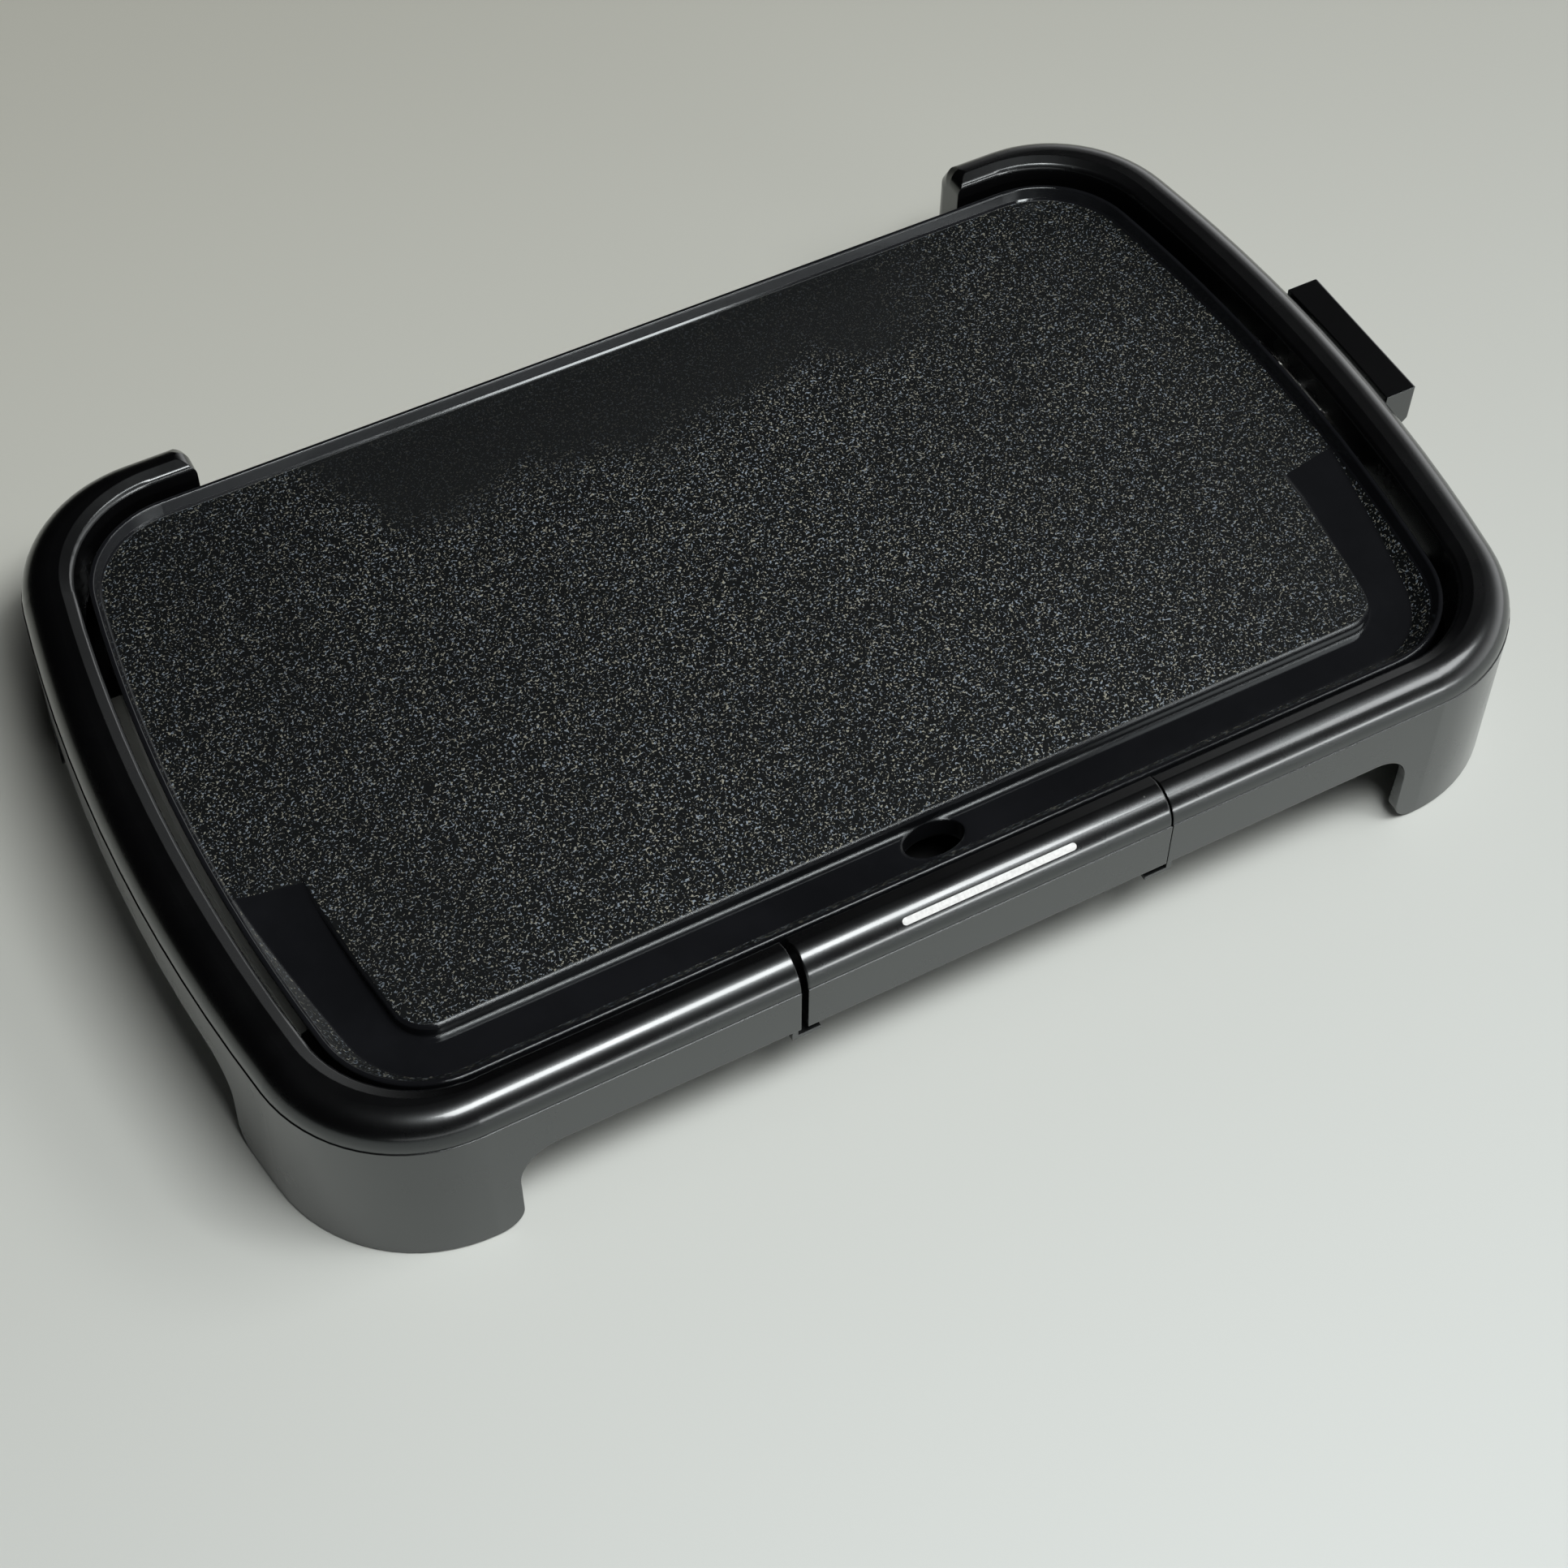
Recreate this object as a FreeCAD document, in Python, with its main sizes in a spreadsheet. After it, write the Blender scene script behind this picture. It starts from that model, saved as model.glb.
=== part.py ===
"""Electric griddle: a cast cooking plate in a moulded base with a slide-out drip tray.

Millimetres, +Z up, +X to the right along the long side, -Y to the front.
The griddle is modelled about the middle of its cooking plate, and every sub-part's
Placement then moves it so that the origin is at the bottom centre of the whole object.
"""
import FreeCAD, Part
import Sketcher
import math
import os

Vector = FreeCAD.Vector
Constraint = Sketcher.Constraint

SIZES = {
    # allowances: a rib or boss reaches "overlap" into the wall it grows from, a cut runs
    # "cut_past" beyond the face it opens through, and "far_past" clears the whole frame
    "overlap": 0.5,
    "cut_past": 1.0,
    "far_past": 20.0,
    "fit_gap": 0.3,
    # cooking plate, seen from above: straight front and back, bowed ends, round corners
    "plate_half_length": 209.2,
    "plate_half_width": 127.0,
    "plate_bow": 641.0,
    "plate_corner": 36.0,
    "plate_bottom": 47.0,
    "plate_underside": 50.4,
    "surface_level": 56.75,
    "rim_level": 61.5,
    "rim_top_width": 1.6,
    "rim_slope_width": 1.8,
    "rim_round": 0.7,
    # grease channel round the front half of the plate
    "channel_end": 34.0,
    "channel_slope_end": 101.0,
    "channel_floor": 51.6,
    "channel_slope": 45.0,
    "island_half_length": 185.2,
    "island_half_width": 104.8,
    "island_bow": 617.0,
    "island_corner": 12.5,
    "island_edge": 1.1,
    "drain_y": 111.3,
    "drain_long": 10.8,
    "drain_short": 6.35,
    "spout_wall": 2.2,
    "spout_bottom": 43.0,
    # underside of the plate
    "pocket_half_length": 178.0,
    "pocket_front": 98.0,
    "pocket_back": 118.0,
    "post_x": 182.0,
    "post_y": 98.0,
    "post_radius": 5.5,
    "post_bottom": 38.2,
    "post_hole_radius": 2.0,
    "post_hole_top": 47.5,
    # heating element, terminals and probe sleeve
    "inlet_y": 2.2,
    "element_level": 46.6,
    "element_radius": 3.3,
    "element_clearance": 0.05,
    "element_far": 150.0,
    "element_side": 72.0,
    "element_bend": 20.0,
    "element_pitch": 15.0,
    "element_end": 203.0,
    "rib_half_width": 6.0,
    "rib_bottom": 43.0,
    "rib_end": 177.0,
    "notch_half_width": 25.5,
    "pin_radius": 2.4,
    "pin_neck": 2.0,
    "pin_round": 0.9,
    "pin_end": 229.0,
    "bead_radius": 3.7,
    "bead_length": 5.2,
    "bead_room": 0.1,
    "sleeve_radius": 4.2,
    "sleeve_bore": 3.3,
    "sleeve_start": 112.0,
    "sleeve_end": 214.0,
    "sleeve_boss_half_width": 7.0,
    "sleeve_boss_bottom": 41.6,
    "sheet_thickness": 1.2,
    "guard_x": 204.6,
    "guard_half_width": 36.0,
    "guard_bottom": 37.0,
    "guard_flange": 18.0,
    "guard_flange_inner": 27.0,
    "guard_lip_end": 226.0,
    "guard_screw_x": 192.0,
    "guard_screw_y": 31.5,
    "guard_screw_length": 3.2,
    # base frame
    "frame_half_length": 232.2,
    "frame_half_width": 146.4,
    "frame_bow": 615.0,
    "frame_corner": 52.5,
    "frame_gap": 4.1,
    "wall_foot": 0.8,
    "wall_draft": 1.64,
    "frame_widest": 232.76,
    "wall_thickness": 2.6,
    "wall_edge": 38.7,
    "groove_level": 58.3,
    "groove_step": 0.35,
    "crest_level": 68.5,
    "roll_radius": 10.0,
    "lip_drop": 1.8,
    "lip_run": 4.4,
    "lip_round": 1.9,
    "skirt_bottom": 44.0,
    "channel_shoulder": 60.0,
    "channel_top": 65.3,
    "shoulder_inset": 6.0,
    "end_rib_chamfer": 3.3,
    "shelf_bottom": 32.0,
    "shelf_top": 35.0,
    "shelf_hole": 2.3,
    "foot_inner_x": 162.5,
    "foot_inner_y": 80.0,
    "foot_toe": 8.5,
    "arch_round": 14.0,
    "rear_rail_bottom": 24.0,
    "rear_gap_half": 150.5,
    "rear_end_round": 6.0,
    "rear_end_room": 0.6,
    "rear_rail_top": 38.0,
    "tray_gap_half": 66.7,
    "bridge_top": 60.0,
    "bridge_bottom": 46.0,
    "bridge_gap": 0.8,
    "bridge_clearance": 1.2,
    # feet
    "foot_x": 196.0,
    "foot_y": 112.0,
    "column_radius": 8.5,
    "pad_radius": 7.0,
    "pad_thickness": 1.6,
    "stem_radius": 2.5,
    "stem_hole": 2.55,
    "stem_top": 9.0,
    # probe shroud and the opening behind it
    "shroud_half_width": 30.6,
    "shroud_reach": 244.6,
    "shroud_top": 63.0,
    "shroud_skin": 2.8,
    "shroud_cheek": 2.5,
    "shroud_nose": 48.5,
    "shroud_bottom": 39.4,
    "shroud_round": 1.2,
    "shroud_boss_width": 4.8,
    "shroud_boss_low": 46.0,
    "shroud_boss_high": 52.0,
    "shroud_boss_end": 240.0,
    "shroud_screw_y": 25.8,
    "shroud_screw_x": 228.6,
    "shroud_access_hole": 3.3,
    "inlet_half_width": 21.5,
    "inlet_top": 56.0,
    # drip tray
    "tray_shift": 1.05,
    "front_half_width": 65.25,
    "front_skin": 2.5,
    "front_end_wall": 2.4,
    "front_heel": 7.5,
    "front_round": 0.8,
    "front_boss_x": 42.0,
    "front_boss_y": 140.8,
    "front_boss_radius": 3.6,
    "front_boss_bottom": 41.8,
    "front_boss_top": 58.0,
    "pan_half_width": 57.0,
    "pan_front": 133.0,
    "pan_back": 60.0,
    "pan_bottom": 20.0,
    "pan_top": 41.6,
    "pan_wall": 1.6,
    "pan_corner": 8.0,
    "pan_base_round": 2.5,
    "pan_flange_half_width": 65.0,
    "pan_flange_front": 140.0,
    "pan_flange_bottom": 34.9,
    "pan_flange_top": 36.5,
    "pan_tab_half_width": 54.0,
    "pan_tab_front": 144.0,
    "pan_tab_bottom": 39.8,
    # tray rails
    "rail_web_inner": 67.3,
    "rail_web_outer": 69.3,
    "rail_ledge_tip": 59.3,
    "rail_bottom": 33.0,
    "rail_ledge_top": 34.6,
    "rail_top": 43.8,
    "rail_step": 38.5,
    "rail_front": 146.2,
    "rail_back": 56.0,
    "rail_upper_back": 118.0,
    "rail_flange_outer": 90.0,
    "rail_flange_depth": 12.0,
    "rail_flange_bottom": 42.2,
    "rail_screw_near": 74.5,
    "rail_screw_far": 85.0,
    "rail_screw_y": 138.5,
    "rail_boss_radius": 4.0,
    # screws and washers
    "washer_radius": 6.5,
    "screw_radius": 1.95,
    "screw_head": 3.8,
    "screw_head_height": 2.4,
    "small_screw_radius": 1.45,
    "small_screw_hole": 1.5,
    "small_screw_clear": 1.6,
    "small_screw_head": 2.9,
    "small_screw_head_height": 1.8,
    "small_screw_length": 9.0,
}


class Dim:
    """A number together with the sheet expression that gives it."""

    def __init__(self, value, text):
        self.value = float(value)
        self.text = text

    def __add__(self, other):
        other = dim(other)
        return Dim(self.value + other.value, "(%s + %s)" % (self.text, other.text))

    def __sub__(self, other):
        other = dim(other)
        return Dim(self.value - other.value, "(%s - %s)" % (self.text, other.text))

    def __mul__(self, factor):
        return Dim(self.value * factor, "(%s * %s)" % (self.text, float(factor)))

    def __neg__(self):
        return self * -1.0


def dim(value):
    """A plain number as a Dim; a Dim as it is."""
    if isinstance(value, Dim):
        return value
    return Dim(value, str(float(value)))


def angle_of(run, rise):
    """The angle in degrees from upright of a slope that runs sideways by run over rise."""
    degrees = math.degrees(math.atan2(run.value, rise.value))
    return Dim(degrees, "atan(%s / %s)" % (run.text, rise.text))


class Sheet:
    """Reads the spreadsheet's aliases as attributes, each one a Dim."""

    def __getattr__(self, name):
        return Dim(SIZES[name], "Sizes." + name)


S = Sheet()
doc = FreeCAD.newDocument("electric_griddle")
nodes = []


def fill_sheet():
    sheet = doc.addObject("Spreadsheet::Sheet", "Sizes")
    for row, (name, value) in enumerate(SIZES.items(), 1):
        sheet.set("A%d" % row, name)
        sheet.set("B%d" % row, str(value))
        sheet.setAlias("B%d" % row, name)
    doc.recompute()


def bind(thing, prop, value):
    thing.setExpression(prop, dim(value).text)


def finish(thing, label, shift=0.0):
    """Label a finished sub-part and move it to the object's own origin."""
    centre = (S.shroud_reach - S.frame_widest) * 0.5
    thing.Label = label
    bind(thing, "Placement.Base.x", dim(shift) - centre)
    nodes.append(thing)
    return thing


# ---------------------------------------------------------------- sketches

def plane(body, role):
    return next(o for o in body.Origin.OriginFeatures if o.Role == role)


def sketch(body, name, role="XY_Plane", level=0.0):
    """An empty sketch on one of the body's origin planes, moved along the plane's normal."""
    made = body.newObject("Sketcher::SketchObject", name)
    made.AttachmentSupport = [(plane(body, role), "")]
    made.MapMode = "FlatFace"
    bind(made, "AttachmentOffset.Base.z", level)
    return made


def fix(target, constraint, name, value):
    number = target.addConstraint(constraint)
    target.renameConstraint(number, name)
    bind(target, "Constraints." + name, value)


def add_outline(target, half_length, half_width, bow, corner):
    """Closed outline with straight front and back, bowed ends and round corners."""
    a, b, bow_r, r = half_length.value, half_width.value, bow.value, corner.value
    bow_x = a - bow_r
    corner_y = b - r
    corner_x = bow_x + math.sqrt((bow_r - r) ** 2 - corner_y ** 2)
    turn = math.atan2(corner_y, corner_x - bow_x)
    up = math.pi / 2

    def arc(x, y, radius, start, end):
        return Part.ArcOfCircle(Part.Circle(Vector(x, y, 0), Vector(0, 0, 1), radius), start, end)

    def line(x0, y0, x1, y1):
        return Part.LineSegment(Vector(x0, y0, 0), Vector(x1, y1, 0))

    first = target.GeometryCount
    target.addGeometry([
        arc(bow_x, 0, bow_r, -turn, turn),
        arc(corner_x, corner_y, r, turn, up),
        line(corner_x, b, -corner_x, b),
        arc(-corner_x, corner_y, r, up, 2 * up - turn),
        arc(-bow_x, 0, bow_r, 2 * up - turn, 2 * up + turn),
        arc(-corner_x, -corner_y, r, 2 * up + turn, 3 * up),
        line(-corner_x, -b, corner_x, -b),
        arc(corner_x, -corner_y, r, 3 * up, 4 * up - turn),
    ], False)
    right, back, left, front = first, first + 2, first + 4, first + 6
    for number in range(8):
        target.addConstraint(Constraint("Tangent", first + number, 2, first + (number + 1) % 8, 1))
    target.addConstraint([
        Constraint("Horizontal", back),
        Constraint("Horizontal", front),
        Constraint("PointOnObject", right, 3, -1),
        Constraint("PointOnObject", left, 3, -1),
        Constraint("Equal", right, left),
        Constraint("Equal", first + 1, first + 3),
        Constraint("Equal", first + 1, first + 5),
        Constraint("Equal", first + 1, first + 7),
    ])
    tag = "_%d" % first
    inward = bow - half_length
    fix(target, Constraint("Radius", right, bow_r), "bow" + tag, bow)
    fix(target, Constraint("Radius", first + 1, r), "corner" + tag, corner)
    fix(target, Constraint("DistanceY", -1, 1, back, 1, b), "back" + tag, half_width)
    fix(target, Constraint("DistanceY", front, 1, -1, 1, b), "front" + tag, half_width)
    fix(target, Constraint("DistanceX", right, 3, -1, 1, bow_r - a), "right" + tag, inward)
    fix(target, Constraint("DistanceX", -1, 1, left, 3, bow_r - a), "left" + tag, inward)


def add_plate_outline(target, inset):
    """The plate's outline moved inwards by inset, or outwards where inset is negative."""
    inset = dim(inset)
    add_outline(target, S.plate_half_length - inset, S.plate_half_width - inset,
                S.plate_bow - inset, S.plate_corner - inset)


def add_frame_outline(target, inset):
    """The frame's outline moved inwards by inset."""
    inset = dim(inset)
    add_outline(target, S.frame_half_length - inset, S.frame_half_width - inset,
                S.frame_bow - inset, S.frame_corner - inset)


def add_profile(target, points):
    """Closed profile. A point is (x, y) and starts a line, or (x, y, radius) and starts an arc
    to the next point: anticlockwise for a positive radius, clockwise for a negative one."""
    points = [tuple(dim(part) for part in point) for point in points]
    first = target.GeometryCount
    count = len(points)
    starts = []
    for number, point in enumerate(points):
        after = points[(number + 1) % count]
        starts.append(add_stretch(target, point, after))
    for number, point in enumerate(points):
        after = (number + 1) % count
        target.addConstraint(Constraint("Coincident", first + number, 3 - starts[number],
                                        first + after, starts[after]))
        fix_stretch(target, first + number, starts[number], point)


def add_open_route(target, points):
    """Like add_profile, but left open: the last point only ends the route."""
    points = [tuple(dim(part) for part in point) for point in points]
    last = len(points) - 2
    starts = [add_stretch(target, points[number], points[number + 1]) for number in range(last + 1)]
    for number in range(last):
        target.addConstraint(Constraint("Coincident", number, 3 - starts[number],
                                        number + 1, starts[number + 1]))
    for number in range(last + 1):
        fix_stretch(target, number, starts[number], points[number])
    fix_point(target, last, 3 - starts[last], "end", points[-1])


def add_stretch(target, point, after):
    """Add the line or arc from point to after, and tell which of its ends is the first."""
    start = Vector(point[0].value, point[1].value, 0)
    end = Vector(after[0].value, after[1].value, 0)
    if len(point) == 2:
        target.addGeometry(Part.LineSegment(start, end), False)
        return 1
    radius = point[2].value
    side = 1 if radius > 0 else -1
    chord = end - start
    reach = math.sqrt(max(radius ** 2 - chord.Length ** 2 / 4, 0.0))
    across = Vector(-chord.y, chord.x, 0).normalize() * side
    centre = (start + end) * 0.5 + across * reach
    ends = [start, end] if side > 0 else [end, start]
    angles = [math.atan2(place.y - centre.y, place.x - centre.x) for place in ends]
    circle = Part.Circle(centre, Vector(0, 0, 1), abs(radius))
    target.addGeometry(Part.ArcOfCircle(circle, angles[0], angles[1]), False)
    return 1 if side > 0 else 2


def fix_point(target, edge, end, tag, point):
    x, y = point[0], point[1]
    fix(target, Constraint("DistanceX", -1, 1, edge, end, x.value), "x_" + tag, x)
    fix(target, Constraint("DistanceY", -1, 1, edge, end, y.value), "y_" + tag, y)


def fix_stretch(target, edge, start, point):
    """Hold the first end of a stretch in place, and an arc's radius."""
    fix_point(target, edge, start, str(edge), point)
    if len(point) == 3:
        size = point[2] if point[2].value > 0 else -point[2]
        fix(target, Constraint("Radius", edge, size.value), "radius_%d" % edge, size)


def add_rectangle(target, x0, x1, y0, y1):
    add_profile(target, [(x0, y0), (x1, y0), (x1, y1), (x0, y1)])


def add_block(target, side, x0, x1, y0, y1):
    """A rectangle whose y runs outwards from y0 to y1: up on side 1, down on side -1."""
    if side < 0:
        y0, y1 = y1, y0
    add_rectangle(target, x0, x1, y0, y1)


def add_circle(target, x, y, radius):
    x, y, radius = dim(x), dim(y), dim(radius)
    number = target.addGeometry(
        Part.Circle(Vector(x.value, y.value, 0), Vector(0, 0, 1), radius.value), False)
    tag = "_%d" % number
    fix(target, Constraint("DistanceX", -1, 1, number, 3, x.value), "x" + tag, x)
    fix(target, Constraint("DistanceY", -1, 1, number, 3, y.value), "y" + tag, y)
    fix(target, Constraint("Radius", number, radius.value), "radius" + tag, radius)


# ---------------------------------------------------------------- features

def new_body(name):
    return doc.addObject("PartDesign::Body", name)


def checked(feature, sign):
    """Recompute, and check that the feature added (sign 1) or removed (sign -1) material."""
    previous = feature.BaseFeature.Shape.Volume if feature.BaseFeature else 0.0
    doc.recompute()
    change = feature.Shape.Volume - previous
    if change * sign <= 0:
        raise ValueError("%s changes the volume by %.2f" % (feature.Name, change))
    return feature


def prism(kind, body, profile, length, reverse=False, taper=None, midplane=False):
    made = body.newObject("PartDesign::" + kind, profile.Name + kind)
    made.Profile = profile
    bind(made, "Length", length)
    made.Reversed = reverse
    if midplane:
        made.SideType = "Symmetric"
    if taper is not None:
        bind(made, "TaperAngle", taper)
    return made


def pad(body, profile, length, **options):
    return checked(prism("Pad", body, profile, length, **options), 1)


def pocket(body, profile, length, **options):
    return checked(prism("Pocket", body, profile, length, **options), -1)


def edges_where(shape, wanted):
    """Names of the edges whose ends and middle all pass the test."""
    names = []
    for number, edge in enumerate(shape.Edges, 1):
        middle = edge.valueAt((edge.FirstParameter + edge.LastParameter) / 2)
        points = [vertex.Point for vertex in edge.Vertexes] + [middle]
        if all(wanted(point) for point in points):
            names.append("Edge%d" % number)
    return names


def fillet(body, base, wanted, radius):
    made = body.newObject("PartDesign::Fillet", base.Name + "_fillet")
    made.Base = (base, edges_where(base.Shape, wanted))
    bind(made, "Radius", radius)
    doc.recompute()
    return made


def near(value, target, room=0.02):
    return abs(value - dim(target).value) < room


def signs():
    """The four corners as (x sign, y sign, words)."""
    for y_sign, y_word in ((-1, "front"), (1, "rear")):
        for x_sign, x_word in ((-1, "left"), (1, "right")):
            yield x_sign, y_sign, "%s_%s" % (y_word, x_word)


# ---------------------------------------------------------------- base frame

REAR_END_TILTS = (30, 60, 90)


def arch(target, inner, top, below):
    """Arch between two feet: round toes, upright sides and a round run up to its top edge."""
    toe, curve = S.foot_toe, S.arch_round
    toe_level = S.wall_foot + toe
    add_profile(target, [
        (-inner - toe, below), (inner + toe, below),
        (inner + toe, S.wall_foot, -toe),
        (inner, toe_level), (inner, top - curve, curve),
        (inner - curve, top), (-inner + curve, top, curve),
        (-inner, top - curve), (-inner, toe_level, -toe),
        (-inner - toe, S.wall_foot),
    ])


def end_rib(body, name, x, side, bottom):
    """Closes the hollow roll beside a gap, at x, in the back (side 1) or the front (side -1)."""
    inside = S.plate_half_width + S.frame_gap + S.wall_thickness * 0.5
    outside = S.frame_half_width - S.wall_thickness * 0.5
    corner = S.frame_half_width - S.shoulder_inset - S.overlap
    top = S.channel_top + S.overlap
    rib = sketch(body, name, "YZ_Plane", x)
    points = [(inside, bottom), (outside, bottom), (outside, S.channel_top - S.end_rib_chamfer),
              (corner, top), (inside, top)]
    add_profile(rib, [(y * side, z) for y, z in points])
    pad(body, rib, S.wall_thickness)


def make_frame_shell(body):
    """The drafted wall, the rolled crest with its sloping inner lip, and the hollow inside."""
    wall = sketch(body, "WallOutline", level=S.groove_level)
    add_frame_outline(wall, 0)
    pad(body, wall, S.groove_level - S.wall_foot, reverse=True, taper=S.wall_draft)
    roll = sketch(body, "RollOutline", level=S.groove_level)
    add_frame_outline(roll, S.groove_step)
    rolled = pad(body, roll, S.crest_level - S.groove_level)
    fillet(body, rolled, lambda p: near(p.z, S.crest_level), S.roll_radius)

    opening = sketch(body, "Opening", level=S.crest_level)
    add_plate_outline(opening, -S.frame_gap)
    opened = pocket(body, opening, S.crest_level)
    half_width = S.plate_half_width + S.frame_gap + S.overlap
    half_length = S.plate_half_length + S.frame_gap + S.overlap
    lip_level = S.crest_level - S.lip_drop

    def on_opening(p):
        return abs(p.x) < half_length.value and abs(p.y) < half_width.value

    slope = body.newObject("PartDesign::Chamfer", "LipSlope")
    slope.Base = (opened, edges_where(
        opened.Shape, lambda p: near(p.z, S.crest_level) and on_opening(p)))
    slope.ChamferType = "Two distances"
    bind(slope, "Size", S.lip_run)
    bind(slope, "Size2", S.lip_drop)
    doc.recompute()
    fillet(body, slope, lambda p: near(p.z, lip_level) and on_opening(p), S.lip_round)

    low = sketch(body, "InsideBelowSkirt", level=S.skirt_bottom)
    add_frame_outline(low, S.wall_thickness)
    pocket(body, low, S.skirt_bottom)
    for name, level, top, inset in (
            ("RollHollow", S.skirt_bottom, S.channel_shoulder, S.wall_thickness),
            ("RollHollowTop", S.channel_shoulder, S.channel_top, S.shoulder_inset)):
        hollow = sketch(body, name, level=level)
        add_frame_outline(hollow, inset)
        add_plate_outline(hollow, -(S.frame_gap + S.wall_thickness))
        pocket(body, hollow, top - level, reverse=True)


def add_frame_supports(body):
    """Ribs beside the gaps, corner shelves under the plate, foot columns and rail bosses."""
    for x, name in ((S.rear_gap_half, "Right"), (-(S.rear_gap_half + S.wall_thickness), "Left")):
        end_rib(body, "RearRib" + name, x, 1, S.rear_rail_top)
    for x, name in ((S.tray_gap_half, "Right"), (-(S.tray_gap_half + S.wall_thickness), "Left")):
        end_rib(body, "FrontRib" + name, x, -1, S.skirt_bottom)
    shelf = sketch(body, "CornerShelves", level=S.shelf_bottom)
    add_frame_outline(shelf, S.wall_thickness * 0.5)
    pad(body, shelf, S.shelf_top - S.shelf_bottom)
    columns = sketch(body, "FootColumns", level=S.pad_thickness)
    for x_sign, y_sign, _ in signs():
        add_circle(columns, S.foot_x * x_sign, S.foot_y * y_sign, S.column_radius)
    pad(body, columns, S.shelf_top - S.pad_thickness)
    bosses = sketch(body, "RailBosses", level=S.rail_top)
    for x in rail_screw_places():
        add_circle(bosses, x, -S.rail_screw_y, S.rail_boss_radius)
    pad(body, bosses, S.channel_top - S.rail_top)


def cut_arches(body):
    """The arches between the feet on all four sides; the rear one leaves a low cross rail."""
    below = -S.cut_past
    back_inside = S.frame_half_width - S.wall_thickness
    front_arch = sketch(body, "FrontArch", "XZ_Plane", -back_inside)
    arch(front_arch, S.foot_inner_x, S.wall_edge, below)
    pocket(body, front_arch, back_inside * 2 + S.far_past, reverse=True)
    rear_arch = sketch(body, "RearArch", "XZ_Plane", -(back_inside - S.cut_past))
    arch(rear_arch, S.foot_inner_x, S.rear_rail_bottom, below)
    pocket(body, rear_arch, S.far_past)
    side_arch = sketch(body, "SideArches", "YZ_Plane")
    arch(side_arch, S.foot_inner_y, S.wall_edge, below)
    pocket(body, side_arch, (S.frame_half_length + S.far_past) * 2, midplane=True)


def add_gap_profile(target, inside, outside):
    """A gap as wide as the back's, from inside to past outside, where its ends turn outwards."""
    half, radius = S.rear_gap_half, S.rear_end_round
    past = outside + S.far_past
    add_profile(target, [
        (-half, inside), (half, inside),
        (half, outside - radius, -radius), (half + radius, outside),
        (half + radius, past), (-half - radius, past),
        (-half - radius, outside, -radius), (-half, outside - radius),
    ])


def cut_rear_gap(body):
    """The wide gap in the back. The ends of the roll beside it are rounded from every side."""
    above = S.crest_level + S.cut_past
    gap = sketch(body, "RearGap", level=above)
    add_gap_profile(gap, S.plate_half_width, S.frame_half_width + S.rear_end_room)
    pocket(body, gap, above - S.rear_rail_top)
    axis_y = S.frame_half_width - S.groove_step - S.roll_radius
    axis_z = S.crest_level - S.roll_radius
    for tilt in REAR_END_TILTS:
        turned = sketch(body, "RearEnds%d" % tilt)
        turned.AttachmentOffset = FreeCAD.Placement(
            Vector(), FreeCAD.Rotation(Vector(1, 0, 0), tilt))
        angle = math.radians(tilt)
        outside = axis_y * math.cos(angle) + axis_z * math.sin(angle) + S.roll_radius
        add_gap_profile(turned, outside - S.rear_end_round - S.overlap, outside)
        pocket(body, turned, S.frame_half_width + S.far_past)


def cut_gaps(body):
    """The gap in the back, the tray's gap in the front and the inlet's opening."""
    above = S.crest_level + S.cut_past
    past = S.frame_half_width + S.far_past
    cut_rear_gap(body)
    tray_gap = sketch(body, "TrayGap", level=above)
    bridge = S.plate_half_width + S.frame_gap + S.wall_thickness
    add_rectangle(tray_gap, -S.tray_gap_half, S.tray_gap_half, -past, -bridge)
    pocket(body, tray_gap, above - S.shelf_bottom)
    bridge_gap = sketch(body, "BridgeTop", level=above)
    add_rectangle(bridge_gap, -S.tray_gap_half, S.tray_gap_half,
                  -bridge - S.overlap, -S.plate_half_width)
    pocket(body, bridge_gap, above - S.bridge_top)
    inlet = sketch(body, "InletOpening", "YZ_Plane", S.plate_half_length)
    add_rectangle(inlet, S.inlet_y - S.inlet_half_width, S.inlet_y + S.inlet_half_width,
                  S.wall_edge - S.cut_past, S.inlet_top)
    pocket(body, inlet, S.far_past * 2, reverse=True)


def drill_frame(body):
    """Holes for the plate screws, the foot stems, and the rail and shroud screws."""
    shelf_holes = sketch(body, "PlateScrewHoles", level=S.shelf_top)
    for x_sign, y_sign, _ in signs():
        add_circle(shelf_holes, S.post_x * x_sign, S.post_y * y_sign, S.shelf_hole)
    pocket(body, shelf_holes, S.shelf_top - S.shelf_bottom + S.cut_past)
    stem_holes = sketch(body, "FootStemHoles", level=S.pad_thickness)
    for x_sign, y_sign, _ in signs():
        add_circle(stem_holes, S.foot_x * x_sign, S.foot_y * y_sign, S.stem_hole)
    pocket(body, stem_holes, S.stem_top - S.pad_thickness + S.cut_past, reverse=True)
    rail_holes = sketch(body, "RailScrewHoles", level=S.rail_top)
    for x in rail_screw_places():
        add_circle(rail_holes, x, -S.rail_screw_y, S.small_screw_hole)
    pocket(body, rail_holes, S.small_screw_length + S.cut_past, reverse=True)
    access = sketch(body, "ShroudScrewAccess", "YZ_Plane", S.plate_half_length)
    add_shroud_screw_circles(access, S.shroud_access_hole)
    pocket(body, access, S.frame_gap + S.wall_thickness + S.cut_past, reverse=True)
    shroud_holes = sketch(body, "ShroudScrewHoles", "YZ_Plane", S.shroud_screw_x - S.cut_past)
    add_shroud_screw_circles(shroud_holes, S.small_screw_hole)
    pocket(body, shroud_holes, S.far_past, reverse=True)


def rail_screw_places():
    """The x of the two screws of each tray rail."""
    return [x * side for side in (-1, 1) for x in (S.rail_screw_near, S.rail_screw_far)]


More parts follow.
